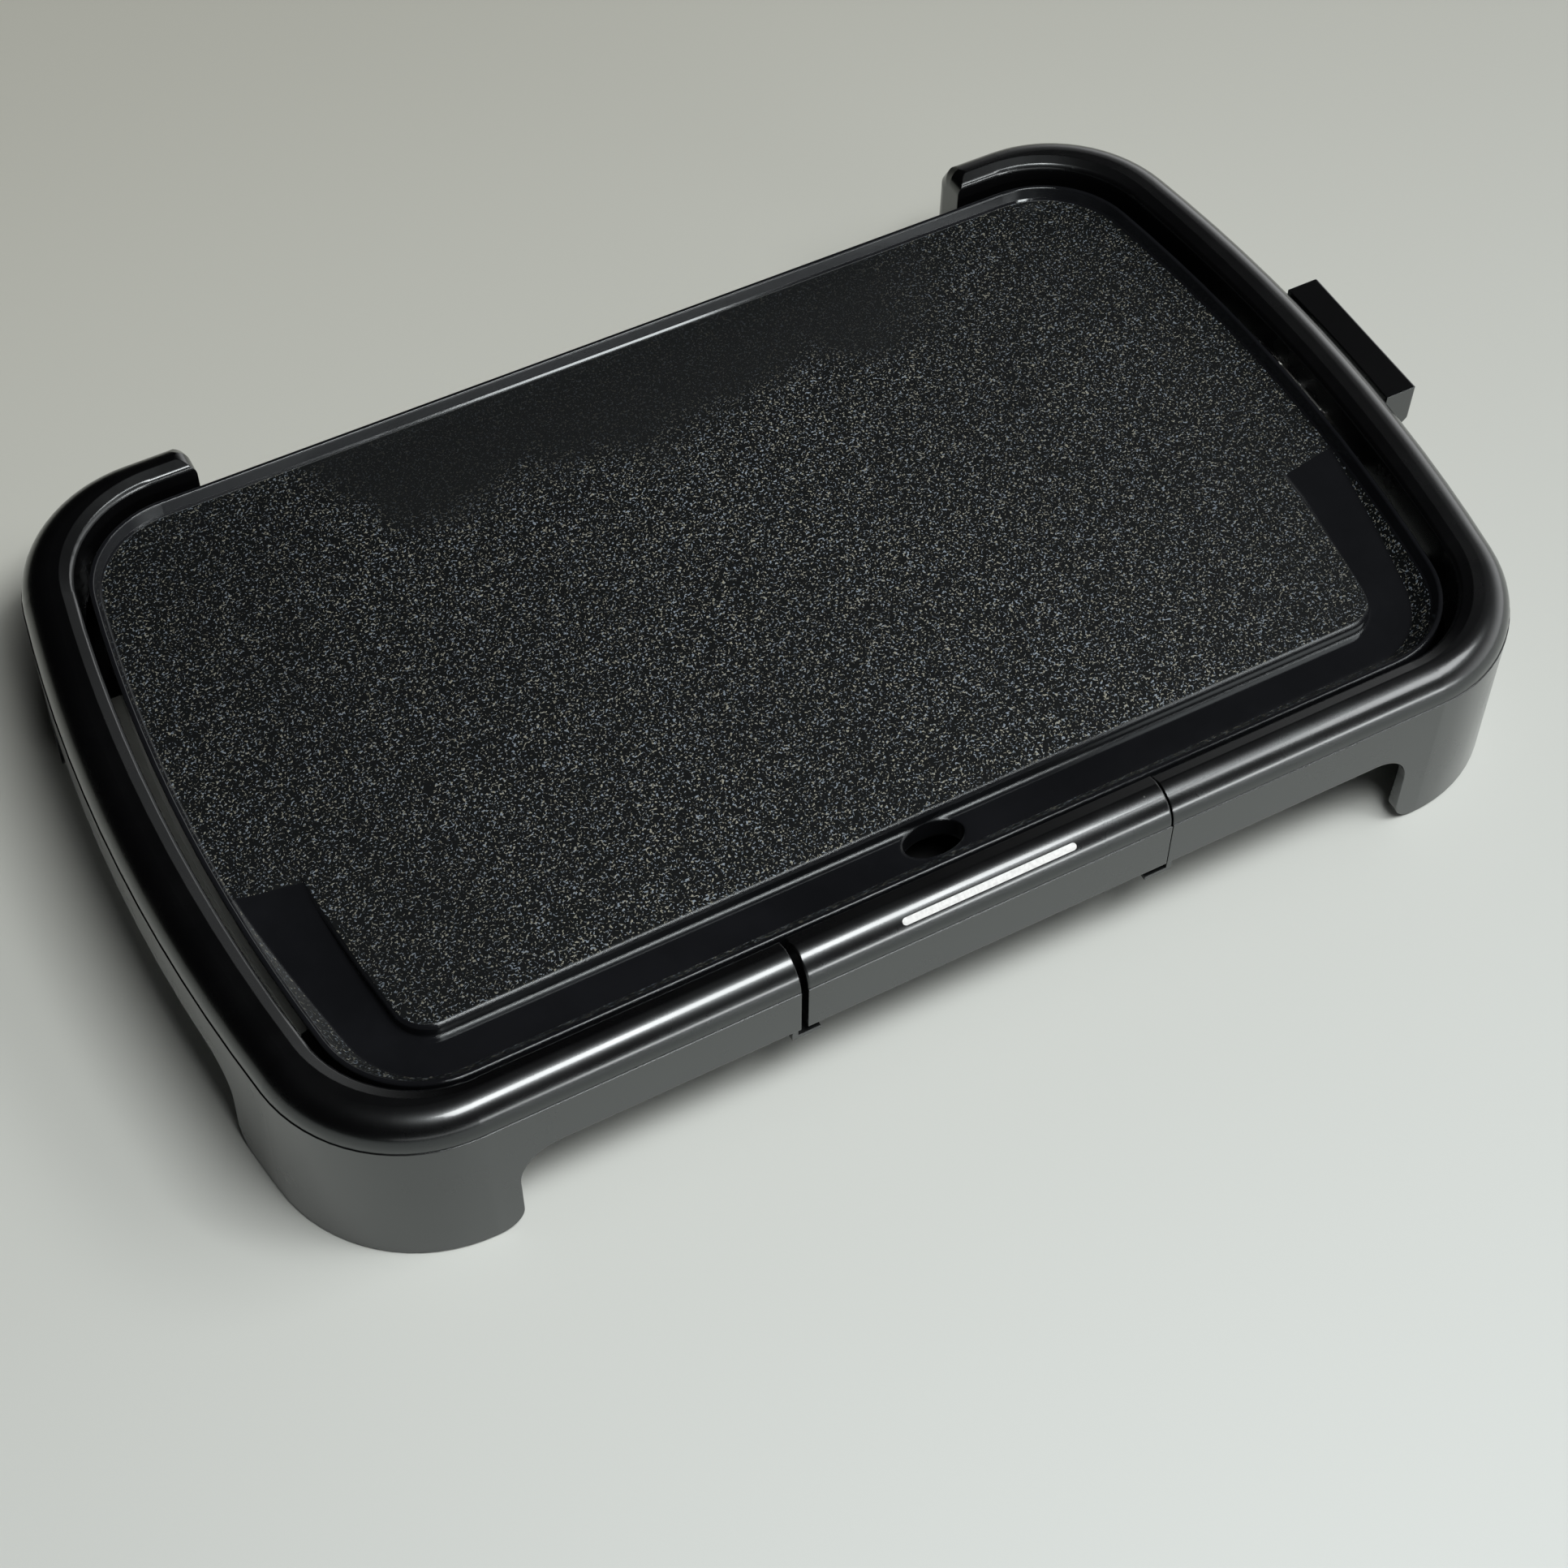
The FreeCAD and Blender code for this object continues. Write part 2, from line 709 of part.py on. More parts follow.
def add_shroud_screw_circles(target, radius):
    """A circle at each of the two shroud screws, on a plane across the long side."""
    level = (S.shroud_boss_low + S.shroud_boss_high) * 0.5
    for side in (-1, 1):
        add_circle(target, S.inlet_y + S.shroud_screw_y * side, level, radius)


def make_base_frame():
    body = new_body("BaseFrame")
    make_frame_shell(body)
    add_frame_supports(body)
    cut_arches(body)
    cut_gaps(body)
    drill_frame(body)
    finish(body, "base_frame")


def make_foot_pads():
    for x_sign, y_sign, words in signs():
        body = new_body("FootPad_" + words)
        disc = sketch(body, "Disc_" + words)
        add_circle(disc, S.foot_x * x_sign, S.foot_y * y_sign, S.pad_radius)
        pad(body, disc, S.pad_thickness)
        stem = sketch(body, "Stem_" + words, level=S.pad_thickness)
        add_circle(stem, S.foot_x * x_sign, S.foot_y * y_sign, S.stem_radius)
        pad(body, stem, S.stem_top - S.pad_thickness)
        finish(body, words + "_foot_pad")


# ---------------------------------------------------------------- cooking plate

def free_sketch(name, level=0.0, turned=False):
    """A sketch outside any body: level above XY, or turned into the YZ plane."""
    made = doc.addObject("Sketcher::SketchObject", name)
    if turned:
        made.Placement = FreeCAD.Placement(Vector(), FreeCAD.Rotation(Vector(1, 1, 1), 120))
    bind(made, "Placement.Base.z", level)
    return made


def extrusion(base, direction, length, taper=0, symmetric=False):
    made = doc.addObject("Part::Extrusion", base.Name + "_extrusion")
    made.Base = base
    made.DirMode = "Custom"
    made.Dir = direction
    made.Solid = True
    made.Symmetric = symmetric
    bind(made, "TaperAngle", taper)
    bind(made, "LengthFwd", length)
    doc.recompute()
    return made


def combine(kind, name, base, tool):
    """A Part::Cut, Part::Common or Part::Fuse of two objects."""
    made = doc.addObject("Part::" + kind, name)
    made.Base = base
    made.Tool = tool
    doc.recompute()
    return made


def element_route(target, end_x):
    """Centre line of the element: two straight tails and a rounded loop under the plate."""
    bend, far, side, pitch = S.element_bend, S.element_far, S.element_side, S.element_pitch
    y = S.inlet_y
    points = [
        (end_x, y + pitch), (far + bend, y + pitch, -bend), (far, y + pitch + bend),
        (far, side - bend, bend), (far - bend, side), (-far + bend, side, bend),
        (-far, side - bend), (-far, -side + bend, bend), (-far + bend, -side),
        (far - bend, -side, bend), (far, -side + bend), (far, y - pitch - bend, -bend),
        (far + bend, y - pitch), (end_x, y - pitch),
    ]
    add_open_route(target, points)


def pipe(body, profile, route, subtract=False):
    kind = "PartDesign::SubtractivePipe" if subtract else "PartDesign::AdditivePipe"
    made = body.newObject(kind, profile.Name + "_pipe")
    made.Profile = profile
    made.Spine = (route, ["Edge%d" % number for number in range(1, route.GeometryCount + 1)])
    return checked(made, -1 if subtract else 1)


def make_plate_casting():
    """The casting before its grease channel and drain hole are cut."""
    body = new_body("PlateCasting")
    blank = sketch(body, "PlateOutline", level=S.plate_bottom)
    add_plate_outline(blank, 0)
    pad(body, blank, S.rim_level - S.plate_bottom)
    dish = sketch(body, "Dish", level=S.rim_level)
    add_plate_outline(dish, S.rim_top_width)
    depth = S.rim_level - S.surface_level
    dished = pocket(body, dish, depth, taper=-angle_of(S.rim_slope_width, depth))
    fillet(body, dished, lambda p: near(p.z, S.rim_level), S.rim_round)

    hollow = sketch(body, "Underside", level=S.plate_bottom)
    add_rectangle(hollow, -S.pocket_half_length, S.pocket_half_length,
                  -S.pocket_front, S.pocket_back)
    rise = S.plate_underside - S.plate_bottom
    pocket(body, hollow, rise, reverse=True)
    notch = sketch(body, "TerminalNotch", level=S.plate_bottom)
    add_rectangle(notch, S.pocket_half_length - S.overlap, S.plate_half_length + S.cut_past,
                  S.inlet_y - S.notch_half_width, S.inlet_y + S.notch_half_width)
    pocket(body, notch, rise, reverse=True)

    posts = sketch(body, "Posts", level=S.post_bottom)
    for x_sign, y_sign, _ in signs():
        add_circle(posts, S.post_x * x_sign, S.post_y * y_sign, S.post_radius)
    pad(body, posts, S.plate_underside - S.post_bottom + S.overlap)
    sleeve_boss = sketch(body, "SleeveBoss", level=S.sleeve_boss_bottom)
    half = S.sleeve_boss_half_width
    add_rectangle(sleeve_boss, S.sleeve_start, S.rib_end, S.inlet_y - half, S.inlet_y + half)
    pad(body, sleeve_boss, S.plate_underside - S.sleeve_boss_bottom + S.overlap)

    rib_route = sketch(body, "RibRoute", level=S.element_level)
    element_route(rib_route, S.rib_end)
    rib = sketch(body, "RibSection", "YZ_Plane", S.rib_end)
    middle = S.inlet_y + S.element_pitch
    add_rectangle(rib, middle - S.rib_half_width, middle + S.rib_half_width,
                  S.rib_bottom, S.plate_underside + S.overlap)
    pipe(body, rib, rib_route)
    bore_route = sketch(body, "ElementBoreRoute", level=S.element_level)
    element_route(bore_route, S.element_end)
    bore = sketch(body, "ElementBore", "YZ_Plane", S.element_end)
    add_circle(bore, middle, S.element_level, S.element_radius + S.element_clearance)
    pipe(body, bore, bore_route, subtract=True)

    sleeve_hole = sketch(body, "SleeveHole", "YZ_Plane", S.sleeve_start - S.cut_past)
    add_circle(sleeve_hole, S.inlet_y, S.element_level, S.sleeve_radius + S.element_clearance)
    pocket(body, sleeve_hole, S.sleeve_end - S.sleeve_start + S.cut_past * 2, reverse=True)
    post_holes = sketch(body, "PostHoles", level=S.post_bottom)
    for x_sign, y_sign, _ in signs():
        add_circle(post_holes, S.post_x * x_sign, S.post_y * y_sign, S.post_hole_radius)
    pocket(body, post_holes, S.post_hole_top - S.post_bottom, reverse=True)
    guard_holes = sketch(body, "GuardScrewHoles", level=S.plate_bottom)
    for side in (-1, 1):
        add_circle(guard_holes, S.guard_screw_x, S.inlet_y + S.guard_screw_y * side,
                   S.small_screw_hole)
    pocket(body, guard_holes, S.guard_screw_length, reverse=True)
    return body


def make_channel_cutter():
    """The grease channel: a sloping floor, a slanted outer side and an upright inner side."""
    mouth = free_sketch("ChannelMouth", S.surface_level)
    add_plate_outline(mouth, S.rim_top_width + S.rim_slope_width)
    outside = extrusion(mouth, Vector(0, 0, -1), S.surface_level - S.plate_underside,
                        taper=-S.channel_slope)
    floor = free_sketch("ChannelFloor", turned=True)
    above = S.surface_level + S.cut_past
    add_profile(floor, [
        (-S.channel_end, S.surface_level), (-S.channel_end, above),
        (-S.plate_half_width, above), (-S.plate_half_width, S.channel_floor),
        (-S.channel_slope_end, S.channel_floor),
    ])
    ramp = extrusion(floor, Vector(1, 0, 0), S.plate_half_length * 2, symmetric=True)
    edge_level = S.surface_level - S.island_edge
    cores = []
    for name, start, rise, taper in (
            ("Island", S.plate_underside, edge_level - S.plate_underside, 0),
            ("IslandEdge", edge_level, S.island_edge, -S.channel_slope)):
        island = free_sketch(name, start)
        add_outline(island, S.island_half_length, S.island_half_width, S.island_bow,
                    S.island_corner)
        cores.append(extrusion(island, Vector(0, 0, 1), rise, taper=taper))
    trough = combine("Common", "ChannelTrough", outside, ramp)
    core = combine("Fuse", "IslandCore", *cores)
    return combine("Cut", "ChannelCutter", trough, core)


def drain_ellipse(name, wall, level):
    """The drain's oval outline, made larger all round by wall."""
    made = doc.addObject("Part::Ellipse", name)
    bind(made, "MajorRadius", S.drain_long + wall)
    bind(made, "MinorRadius", S.drain_short + wall)
    bind(made, "Placement.Base.y", -S.drain_y)
    bind(made, "Placement.Base.z", level)
    return made


def make_cooking_plate():
    casting = make_plate_casting()
    spout = extrusion(drain_ellipse("SpoutOutline", S.spout_wall, S.spout_bottom),
                      Vector(0, 0, 1), S.plate_bottom - S.spout_bottom + S.overlap)
    drained = extrusion(drain_ellipse("DrainOutline", 0, S.spout_bottom - S.cut_past),
                        Vector(0, 0, 1), S.rim_level - S.spout_bottom)
    whole = combine("Fuse", "PlateWithSpout", casting, spout)
    channelled = combine("Cut", "PlateWithChannel", whole, make_channel_cutter())
    plate = combine("Cut", "CookingPlate", channelled, drained)
    return finish(plate, "cooking_plate")


# ---------------------------------------------------------------- heating and inlet pieces

def make_heating_element():
    body = new_body("HeatingElement")
    route = sketch(body, "ElementRoute", level=S.element_level)
    element_route(route, S.element_end)
    section = sketch(body, "ElementSection", "YZ_Plane", S.element_end)
    add_circle(section, S.inlet_y + S.element_pitch, S.element_level, S.element_radius)
    pipe(body, section, route)
    finish(body, "heating_element")


def make_terminals():
    """A pin at each end of the element, its neck inside a ceramic bead."""
    bead_end = S.element_end + S.bead_length
    for side, words in ((-1, "front"), (1, "rear")):
        y = S.inlet_y + S.element_pitch * side
        pin = new_body("TerminalPin_" + words)
        neck = sketch(pin, "Neck_" + words, "YZ_Plane", S.element_end)
        add_circle(neck, y, S.element_level, S.pin_neck)
        pad(pin, neck, S.bead_length)
        shank = sketch(pin, "Shank_" + words, "YZ_Plane", bead_end)
        add_circle(shank, y, S.element_level, S.pin_radius)
        turned = pad(pin, shank, S.pin_end - bead_end)
        fillet(pin, turned, lambda p: near(p.x, S.pin_end), S.pin_round)
        finish(pin, words + "_terminal_pin")
        bead = new_body("TerminalBead_" + words)
        ring = sketch(bead, "Ring_" + words, "YZ_Plane", S.element_end)
        add_circle(ring, y, S.element_level, S.bead_radius)
        add_circle(ring, y, S.element_level, S.pin_neck + S.element_clearance)
        pad(bead, ring, S.bead_length)
        finish(bead, words + "_terminal_bead")


def make_probe_sleeve():
    body = new_body("ProbeSleeve")
    ring = sketch(body, "SleeveRing", "YZ_Plane", S.sleeve_start)
    add_circle(ring, S.inlet_y, S.element_level, S.sleeve_radius)
    add_circle(ring, S.inlet_y, S.element_level, S.sleeve_bore)
    pad(body, ring, S.sleeve_end - S.sleeve_start)
    finish(body, "probe_sleeve")


def make_terminal_guard():
    """Folded sheet round and under the terminals, hung from the plate by two tabs."""
    body = new_body("TerminalGuard")
    upright = sketch(body, "Upright", "YZ_Plane", S.guard_x)
    y, half, inner = S.inlet_y, S.guard_half_width, S.notch_half_width - S.fit_gap
    add_profile(upright, [
        (y - half, S.guard_bottom), (y + half, S.guard_bottom), (y + half, S.plate_bottom),
        (y + inner, S.plate_bottom), (y + inner, S.plate_underside - S.fit_gap),
        (y - inner, S.plate_underside - S.fit_gap), (y - inner, S.plate_bottom),
        (y - half, S.plate_bottom),
    ])
    pad(body, upright, S.sheet_thickness)
    lip = sketch(body, "LowerLip", level=S.guard_bottom)
    add_rectangle(lip, S.guard_x, S.guard_lip_end, y - half, y + half)
    pad(body, lip, S.sheet_thickness)
    tabs = sketch(body, "Tabs", level=S.plate_bottom - S.sheet_thickness)
    for side in (-1, 1):
        add_block(tabs, side, S.guard_x - S.guard_flange, S.guard_x + S.overlap,
                  y + S.guard_flange_inner * side, y + half * side)
    pad(body, tabs, S.sheet_thickness)
    holes = sketch(body, "GuardHoles", "YZ_Plane", S.guard_x - S.cut_past)
    for side in (-1, 1):
        add_circle(holes, y + S.element_pitch * side, S.element_level,
                   S.bead_radius + S.bead_room)
    add_circle(holes, y, S.element_level, S.sleeve_radius + S.bead_room)
    pocket(body, holes, S.sheet_thickness + S.cut_past * 2, reverse=True)
    tab_holes = sketch(body, "TabHoles", level=S.plate_bottom)
    for side in (-1, 1):
        add_circle(tab_holes, S.guard_screw_x, y + S.guard_screw_y * side, S.small_screw_hole)
    pocket(body, tab_holes, S.sheet_thickness + S.cut_past)
    finish(body, "terminal_guard")


# ---------------------------------------------------------------- probe shroud

def make_probe_shroud():
    """Visor over the inlet: a flat top and two cheeks with slanted lower edges."""
    body = new_body("ProbeShroud")
    start = S.frame_half_length - S.roll_radius
    slant = S.shroud_nose - S.shroud_bottom
    cheek = sketch(body, "CheekProfile", "XZ_Plane", -S.inlet_y)
    add_profile(cheek, [
        (start, S.shroud_bottom), (S.shroud_reach - slant, S.shroud_bottom),
        (S.shroud_reach, S.shroud_nose), (S.shroud_reach, S.shroud_top), (start, S.shroud_top),
    ])
    block = pad(body, cheek, S.shroud_half_width * 2, midplane=True)

    def outer_corner(p):
        sideways = abs(p.y - S.inlet_y.value)
        return near(p.x, S.shroud_reach) and (
            near(p.z, S.shroud_top) or near(sideways, S.shroud_half_width))

    fillet(body, block, outer_corner, S.shroud_round)
    inside = S.shroud_half_width - S.shroud_cheek
    cavity = sketch(body, "Cavity", "XZ_Plane", -S.inlet_y)
    add_rectangle(cavity, start - S.cut_past, S.shroud_reach + S.cut_past,
                  S.shroud_bottom - S.cut_past, S.shroud_top - S.shroud_skin)
    pocket(body, cavity, inside * 2, midplane=True)
    bosses = sketch(body, "ShroudBosses", level=S.shroud_boss_low)
    for side in (-1, 1):
        add_block(bosses, side, start, S.shroud_boss_end,
                  S.inlet_y + (inside - S.shroud_boss_width) * side,
                  S.inlet_y + (inside + S.overlap) * side)
    pad(body, bosses, S.shroud_boss_high - S.shroud_boss_low)
    seat = sketch(body, "WallSeat", level=S.groove_level)
    add_frame_outline(seat, -S.fit_gap)
    pocket(body, seat, S.groove_level - S.shroud_bottom + S.cut_past, taper=S.wall_draft)
    roll_seat = sketch(body, "RollSeat", level=S.groove_level)
    add_frame_outline(roll_seat, -S.fit_gap)
    pocket(body, roll_seat, S.crest_level - S.groove_level, reverse=True)
    bores = sketch(body, "ShroudScrewBores", "YZ_Plane", start)
    add_shroud_screw_circles(bores, S.small_screw_hole)
    pocket(body, bores, S.shroud_screw_x + S.small_screw_length + S.cut_past - start,
           reverse=True)
    finish(body, "probe_shroud")


# ---------------------------------------------------------------- drip tray

def make_tray_front():
    """The frame's rolled edge and wall again, hollow behind and closed at both ends."""
    body = new_body("TrayFront")
    wall_y = S.frame_half_width
    flare = math.tan(math.radians(S.wall_draft.value))
    foot_y = wall_y + (S.groove_level - S.wall_edge) * flare
    roll_y = wall_y - S.groove_step
    roll_centre = S.crest_level - S.roll_radius
    crest_y = roll_y - S.roll_radius
    lip_y = S.plate_half_width + S.frame_gap
    lip_bottom = S.bridge_top + S.bridge_clearance
    back = lip_y + S.wall_thickness + S.bridge_gap
    outside = sketch(body, "FrontProfile", "YZ_Plane", -S.front_half_width)
    add_profile(outside, [
        (-foot_y, S.wall_edge), (-back - S.front_heel, S.wall_edge), (-back, S.bridge_bottom),
        (-back, lip_bottom), (-lip_y, lip_bottom), (-lip_y, S.crest_level - S.lip_drop),
        (-lip_y - S.lip_run, S.crest_level), (-crest_y, S.crest_level, S.roll_radius),
        (-roll_y, roll_centre), (-roll_y, S.groove_level), (-wall_y, S.groove_level),
    ])
    solid = pad(body, outside, S.front_half_width * 2)
    fillet(body, solid, lambda p: near(abs(p.x), S.front_half_width)
           and p.y < -crest_y.value + 0.1 and p.z > S.groove_level.value + 0.1, S.front_round)
    skin = S.front_skin
    open_below = S.wall_edge - S.cut_past
    open_behind = -lip_y + S.cut_past
    inside = sketch(body, "FrontHollow", "YZ_Plane", -(S.front_half_width - S.front_end_wall))
    add_profile(inside, [
        (-foot_y + skin, open_below), (open_behind, open_below),
        (open_behind, S.bridge_top), (-lip_y - skin, S.bridge_top),
        (-lip_y - skin, S.crest_level - S.lip_drop - skin),
        (-crest_y, S.crest_level - skin, S.roll_radius - skin), (-roll_y + skin, roll_centre),
    ])
    pocket(body, inside, (S.front_half_width - S.front_end_wall) * 2, reverse=True)
    bosses = sketch(body, "FrontBosses", level=S.front_boss_bottom)
    bores = sketch(body, "FrontBores", level=S.front_boss_bottom)
    for side in (-1, 1):
        add_circle(bosses, S.front_boss_x * side, -S.front_boss_y, S.front_boss_radius)
        add_circle(bores, S.front_boss_x * side, -S.front_boss_y, S.small_screw_hole)
    pad(body, bosses, S.front_boss_top - S.front_boss_bottom)
    pocket(body, bores, S.small_screw_length + S.cut_past, reverse=True)
    finish(body, "tray_front", S.tray_shift)


def make_drip_tray():
    """Pan with running flanges along its sides and a tab under the tray front."""
    body = new_body("DripTray")
    half = S.pan_half_width
    block = sketch(body, "PanBlock", level=S.pan_bottom)
    add_rectangle(block, -half, half, -S.pan_front, -S.pan_back)
    raised = pad(body, block, S.pan_top - S.pan_bottom)

    def upright_corner(p):
        return near(abs(p.x), half) and (near(p.y, -S.pan_front) or near(p.y, -S.pan_back))

    rounded = fillet(body, raised, upright_corner, S.pan_corner)
    fillet(body, rounded, lambda p: near(p.z, S.pan_bottom), S.pan_base_round)
    flange = sketch(body, "Flange", level=S.pan_flange_bottom)
    add_rectangle(flange, -S.pan_flange_half_width, S.pan_flange_half_width,
                  -S.pan_flange_front, -S.pan_back)
    pad(body, flange, S.pan_flange_top - S.pan_flange_bottom)
    tab = sketch(body, "FrontTab", level=S.pan_tab_bottom)
    add_rectangle(tab, -S.pan_tab_half_width, S.pan_tab_half_width,
                  -S.pan_tab_front, -S.pan_front + S.overlap)
    pad(body, tab, S.pan_top - S.pan_tab_bottom)
    wall = S.pan_wall
    well = sketch(body, "Well", level=S.pan_top)
    x, front, back, r = half - wall, S.pan_front - wall, S.pan_back + wall, S.pan_corner - wall
    add_profile(well, [
        (-x + r, -front), (x - r, -front, r), (x, -front + r), (x, -back - r, r),
        (x - r, -back), (-x + r, -back, r), (-x, -back - r), (-x, -front + r, r),
    ])
    pocket(body, well, S.pan_top - S.pan_bottom - wall)
    holes = sketch(body, "TabHoles_pan", level=S.pan_top)
    for side in (-1, 1):
        add_circle(holes, S.front_boss_x * side, -S.front_boss_y, S.small_screw_clear)
    pocket(body, holes, S.pan_top - S.pan_tab_bottom + S.cut_past)
    finish(body, "drip_tray", S.tray_shift)


def make_tray_rails():
    """Rail at each side: an upright web, a ledge for the tray and a flange under the frame."""
    behind = S.frame_half_width - S.wall_thickness - S.fit_gap
    inner, outer = S.rail_web_inner, S.rail_web_outer
    blocks = (
        ("LowerWeb", inner, outer, S.rail_front, S.rail_back, S.rail_bottom, S.rail_step),
        ("Ledge", S.rail_ledge_tip, inner + S.overlap, S.rail_front, S.rail_back,
         S.rail_bottom, S.rail_ledge_top),
        ("UpperWeb", inner, outer, behind, S.rail_upper_back, S.rail_step - S.overlap,
         S.rail_top),
        ("Flange", outer - S.overlap, S.rail_flange_outer, behind, behind - S.rail_flange_depth,
         S.rail_flange_bottom, S.rail_top),
    )
    for side, words in ((-1, "left"), (1, "right")):
        body = new_body("TrayRail_" + words)
        for name, near_x, far_x, front, back, bottom, top in blocks:
            base = sketch(body, name + "_" + words, level=bottom)
            if side < 0:
                add_rectangle(base, -far_x, -near_x, -front, -back)
            else:
                add_rectangle(base, near_x, far_x, -front, -back)
            pad(body, base, top - bottom)
        holes = sketch(body, "RailHoles_" + words, level=S.rail_top)
        for x in (S.rail_screw_near, S.rail_screw_far):
            add_circle(holes, x * side, -S.rail_screw_y, S.small_screw_clear)
        pocket(body, holes, S.rail_top - S.rail_flange_bottom + S.cut_past)
        finish(body, words + "_tray_rail")


# ---------------------------------------------------------------- screws and washers

def make_washers():
    for x_sign, y_sign, words in signs():
        body = new_body("Washer_" + words)
        ring = sketch(body, "WasherRing_" + words, level=S.shelf_top)
        add_circle(ring, S.post_x * x_sign, S.post_y * y_sign, S.washer_radius)
        add_circle(ring, S.post_x * x_sign, S.post_y * y_sign, S.shelf_hole)
        pad(body, ring, S.post_bottom - S.shelf_top)
        finish(body, words + "_insulating_washer")


def cylinder(name, place, axis, radius, length):
    """A cylinder that starts at place, three Dims, and runs along the unit vector axis."""
    made = doc.addObject("Part::Cylinder", name)
    made.Placement = FreeCAD.Placement(Vector(), FreeCAD.Rotation(Vector(0, 0, 1), axis))
    for letter, value in zip("xyz", place):
        bind(made, "Placement.Base." + letter, value)
    bind(made, "Radius", radius)
    bind(made, "Height", length)
    return made


def screws(label, places, axis, sizes, shift=0.0):
    """Identical pan-head screws. Each place is under the head; axis points along the shank."""
    shank_radius, shank_length, head_radius, head_height = sizes
    pieces = []
    for number, place in enumerate(places):
        name = "%s_%d" % (label, number)
        pieces.append(cylinder(name + "_shank", place, axis, shank_radius, shank_length))
        pieces.append(cylinder(name + "_head", place, -axis, head_radius, head_height))
    made = doc.addObject("Part::MultiFuse", "Group_" + label)
    made.Shapes = pieces
    doc.recompute()
    finish(made, label, shift)


def make_screws():
    up, right = Vector(0, 0, 1), Vector(1, 0, 0)
    small = (S.small_screw_radius, S.small_screw_length, S.small_screw_head,
             S.small_screw_head_height)
    plate_places = [(S.post_x * x_sign, S.post_y * y_sign, S.shelf_bottom)
                    for x_sign, y_sign, _ in signs()]
    screws("plate_screws", plate_places, up,
           (S.screw_radius, S.post_hole_top - S.shelf_bottom - S.cut_past, S.screw_head,
            S.screw_head_height))
    screws("guard_screws",
           [(S.guard_screw_x, S.inlet_y + S.guard_screw_y * side,
             S.plate_bottom - S.sheet_thickness) for side in (-1, 1)], up,
           (S.small_screw_radius, S.guard_screw_length, S.small_screw_head,
            S.small_screw_head_height))
    screws("rail_screws",
           [(x, -S.rail_screw_y, S.rail_flange_bottom) for x in rail_screw_places()],
           up, small)
    screws("shroud_screws",
           [(S.shroud_screw_x, S.inlet_y + S.shroud_screw_y * side,
             (S.shroud_boss_low + S.shroud_boss_high) * 0.5) for side in (-1, 1)], right, small)
    screws("tray_front_screws",
           [(S.front_boss_x * side, -S.front_boss_y, S.pan_tab_bottom) for side in (-1, 1)],
           up, small, S.tray_shift)


# ---------------------------------------------------------------- build and export

def check_document():
    for thing in doc.Objects:
        if "Invalid" in thing.State or "Error" in thing.State:
            raise ValueError("%s: %s" % (thing.Name, thing.State))
    for node in nodes:
        if node.Shape.isNull() or not node.Shape.isValid():
            raise ValueError(node.Label + " has a bad shape")


def main():
    fill_sheet()
    make_base_frame()
    make_foot_pads()
    make_cooking_plate()
    make_heating_element()
    make_terminals()
    make_probe_sleeve()
    make_terminal_guard()
    make_probe_shroud()
    make_tray_front()
    make_drip_tray()
    make_tray_rails()
    make_washers()
    make_screws()
    doc.recompute()
    check_document()
    os.makedirs("parts", exist_ok=True)
    for node in nodes:
        node.Shape.exportStep("parts/%s.step" % node.Label)
        box = node.Shape.optimalBoundingBox(True, False)
        print("%-28s x %7.1f %7.1f  y %7.1f %7.1f  z %6.1f %6.1f  %d solid(s)" % (
            node.Label, box.XMin, box.XMax, box.YMin, box.YMax, box.ZMin, box.ZMax,
            len(node.Shape.Solids)))


main()
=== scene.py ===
"""Looks of the electric griddle: materials, printed stripe, floor, lights and camera.

Metres, +Z up, +X to the right, -Y to the front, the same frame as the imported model.
"""
import math

import bmesh
import bpy
from mathutils import Matrix, Vector
from mathutils.bvhtree import BVHTree


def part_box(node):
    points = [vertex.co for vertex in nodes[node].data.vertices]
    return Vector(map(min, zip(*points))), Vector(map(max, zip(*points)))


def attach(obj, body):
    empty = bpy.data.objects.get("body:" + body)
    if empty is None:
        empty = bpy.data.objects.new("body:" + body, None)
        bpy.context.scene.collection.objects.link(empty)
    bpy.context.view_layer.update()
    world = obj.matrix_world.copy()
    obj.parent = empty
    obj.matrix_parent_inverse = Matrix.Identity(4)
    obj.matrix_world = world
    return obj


MM = 0.001

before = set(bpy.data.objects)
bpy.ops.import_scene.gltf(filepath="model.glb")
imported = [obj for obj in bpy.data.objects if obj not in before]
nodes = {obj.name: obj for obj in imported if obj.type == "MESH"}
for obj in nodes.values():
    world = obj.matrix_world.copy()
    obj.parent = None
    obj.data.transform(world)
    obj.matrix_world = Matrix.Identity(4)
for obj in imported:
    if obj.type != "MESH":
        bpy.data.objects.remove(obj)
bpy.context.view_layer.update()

# ---------------------------------------------------------------- places taken from the frame

plate_low, plate_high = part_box("cooking_plate")
tray_low, tray_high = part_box("tray_front")
SURFACE_LEVEL = plate_high.z - 4.75 * MM
CHANNEL_FLOOR = plate_high.z - 9.9 * MM
PLATE_X = (plate_low.x + plate_high.x) / 2
TRAY_X = (tray_low.x + tray_high.x) / 2

# ---------------------------------------------------------------- materials

COOL = (0.93, 0.99, 1.0, 1.0)
EASE_SAMPLES = 6
NOISE_RANGE = (0.3, 0.7)  # where nearly all values of a noise lie


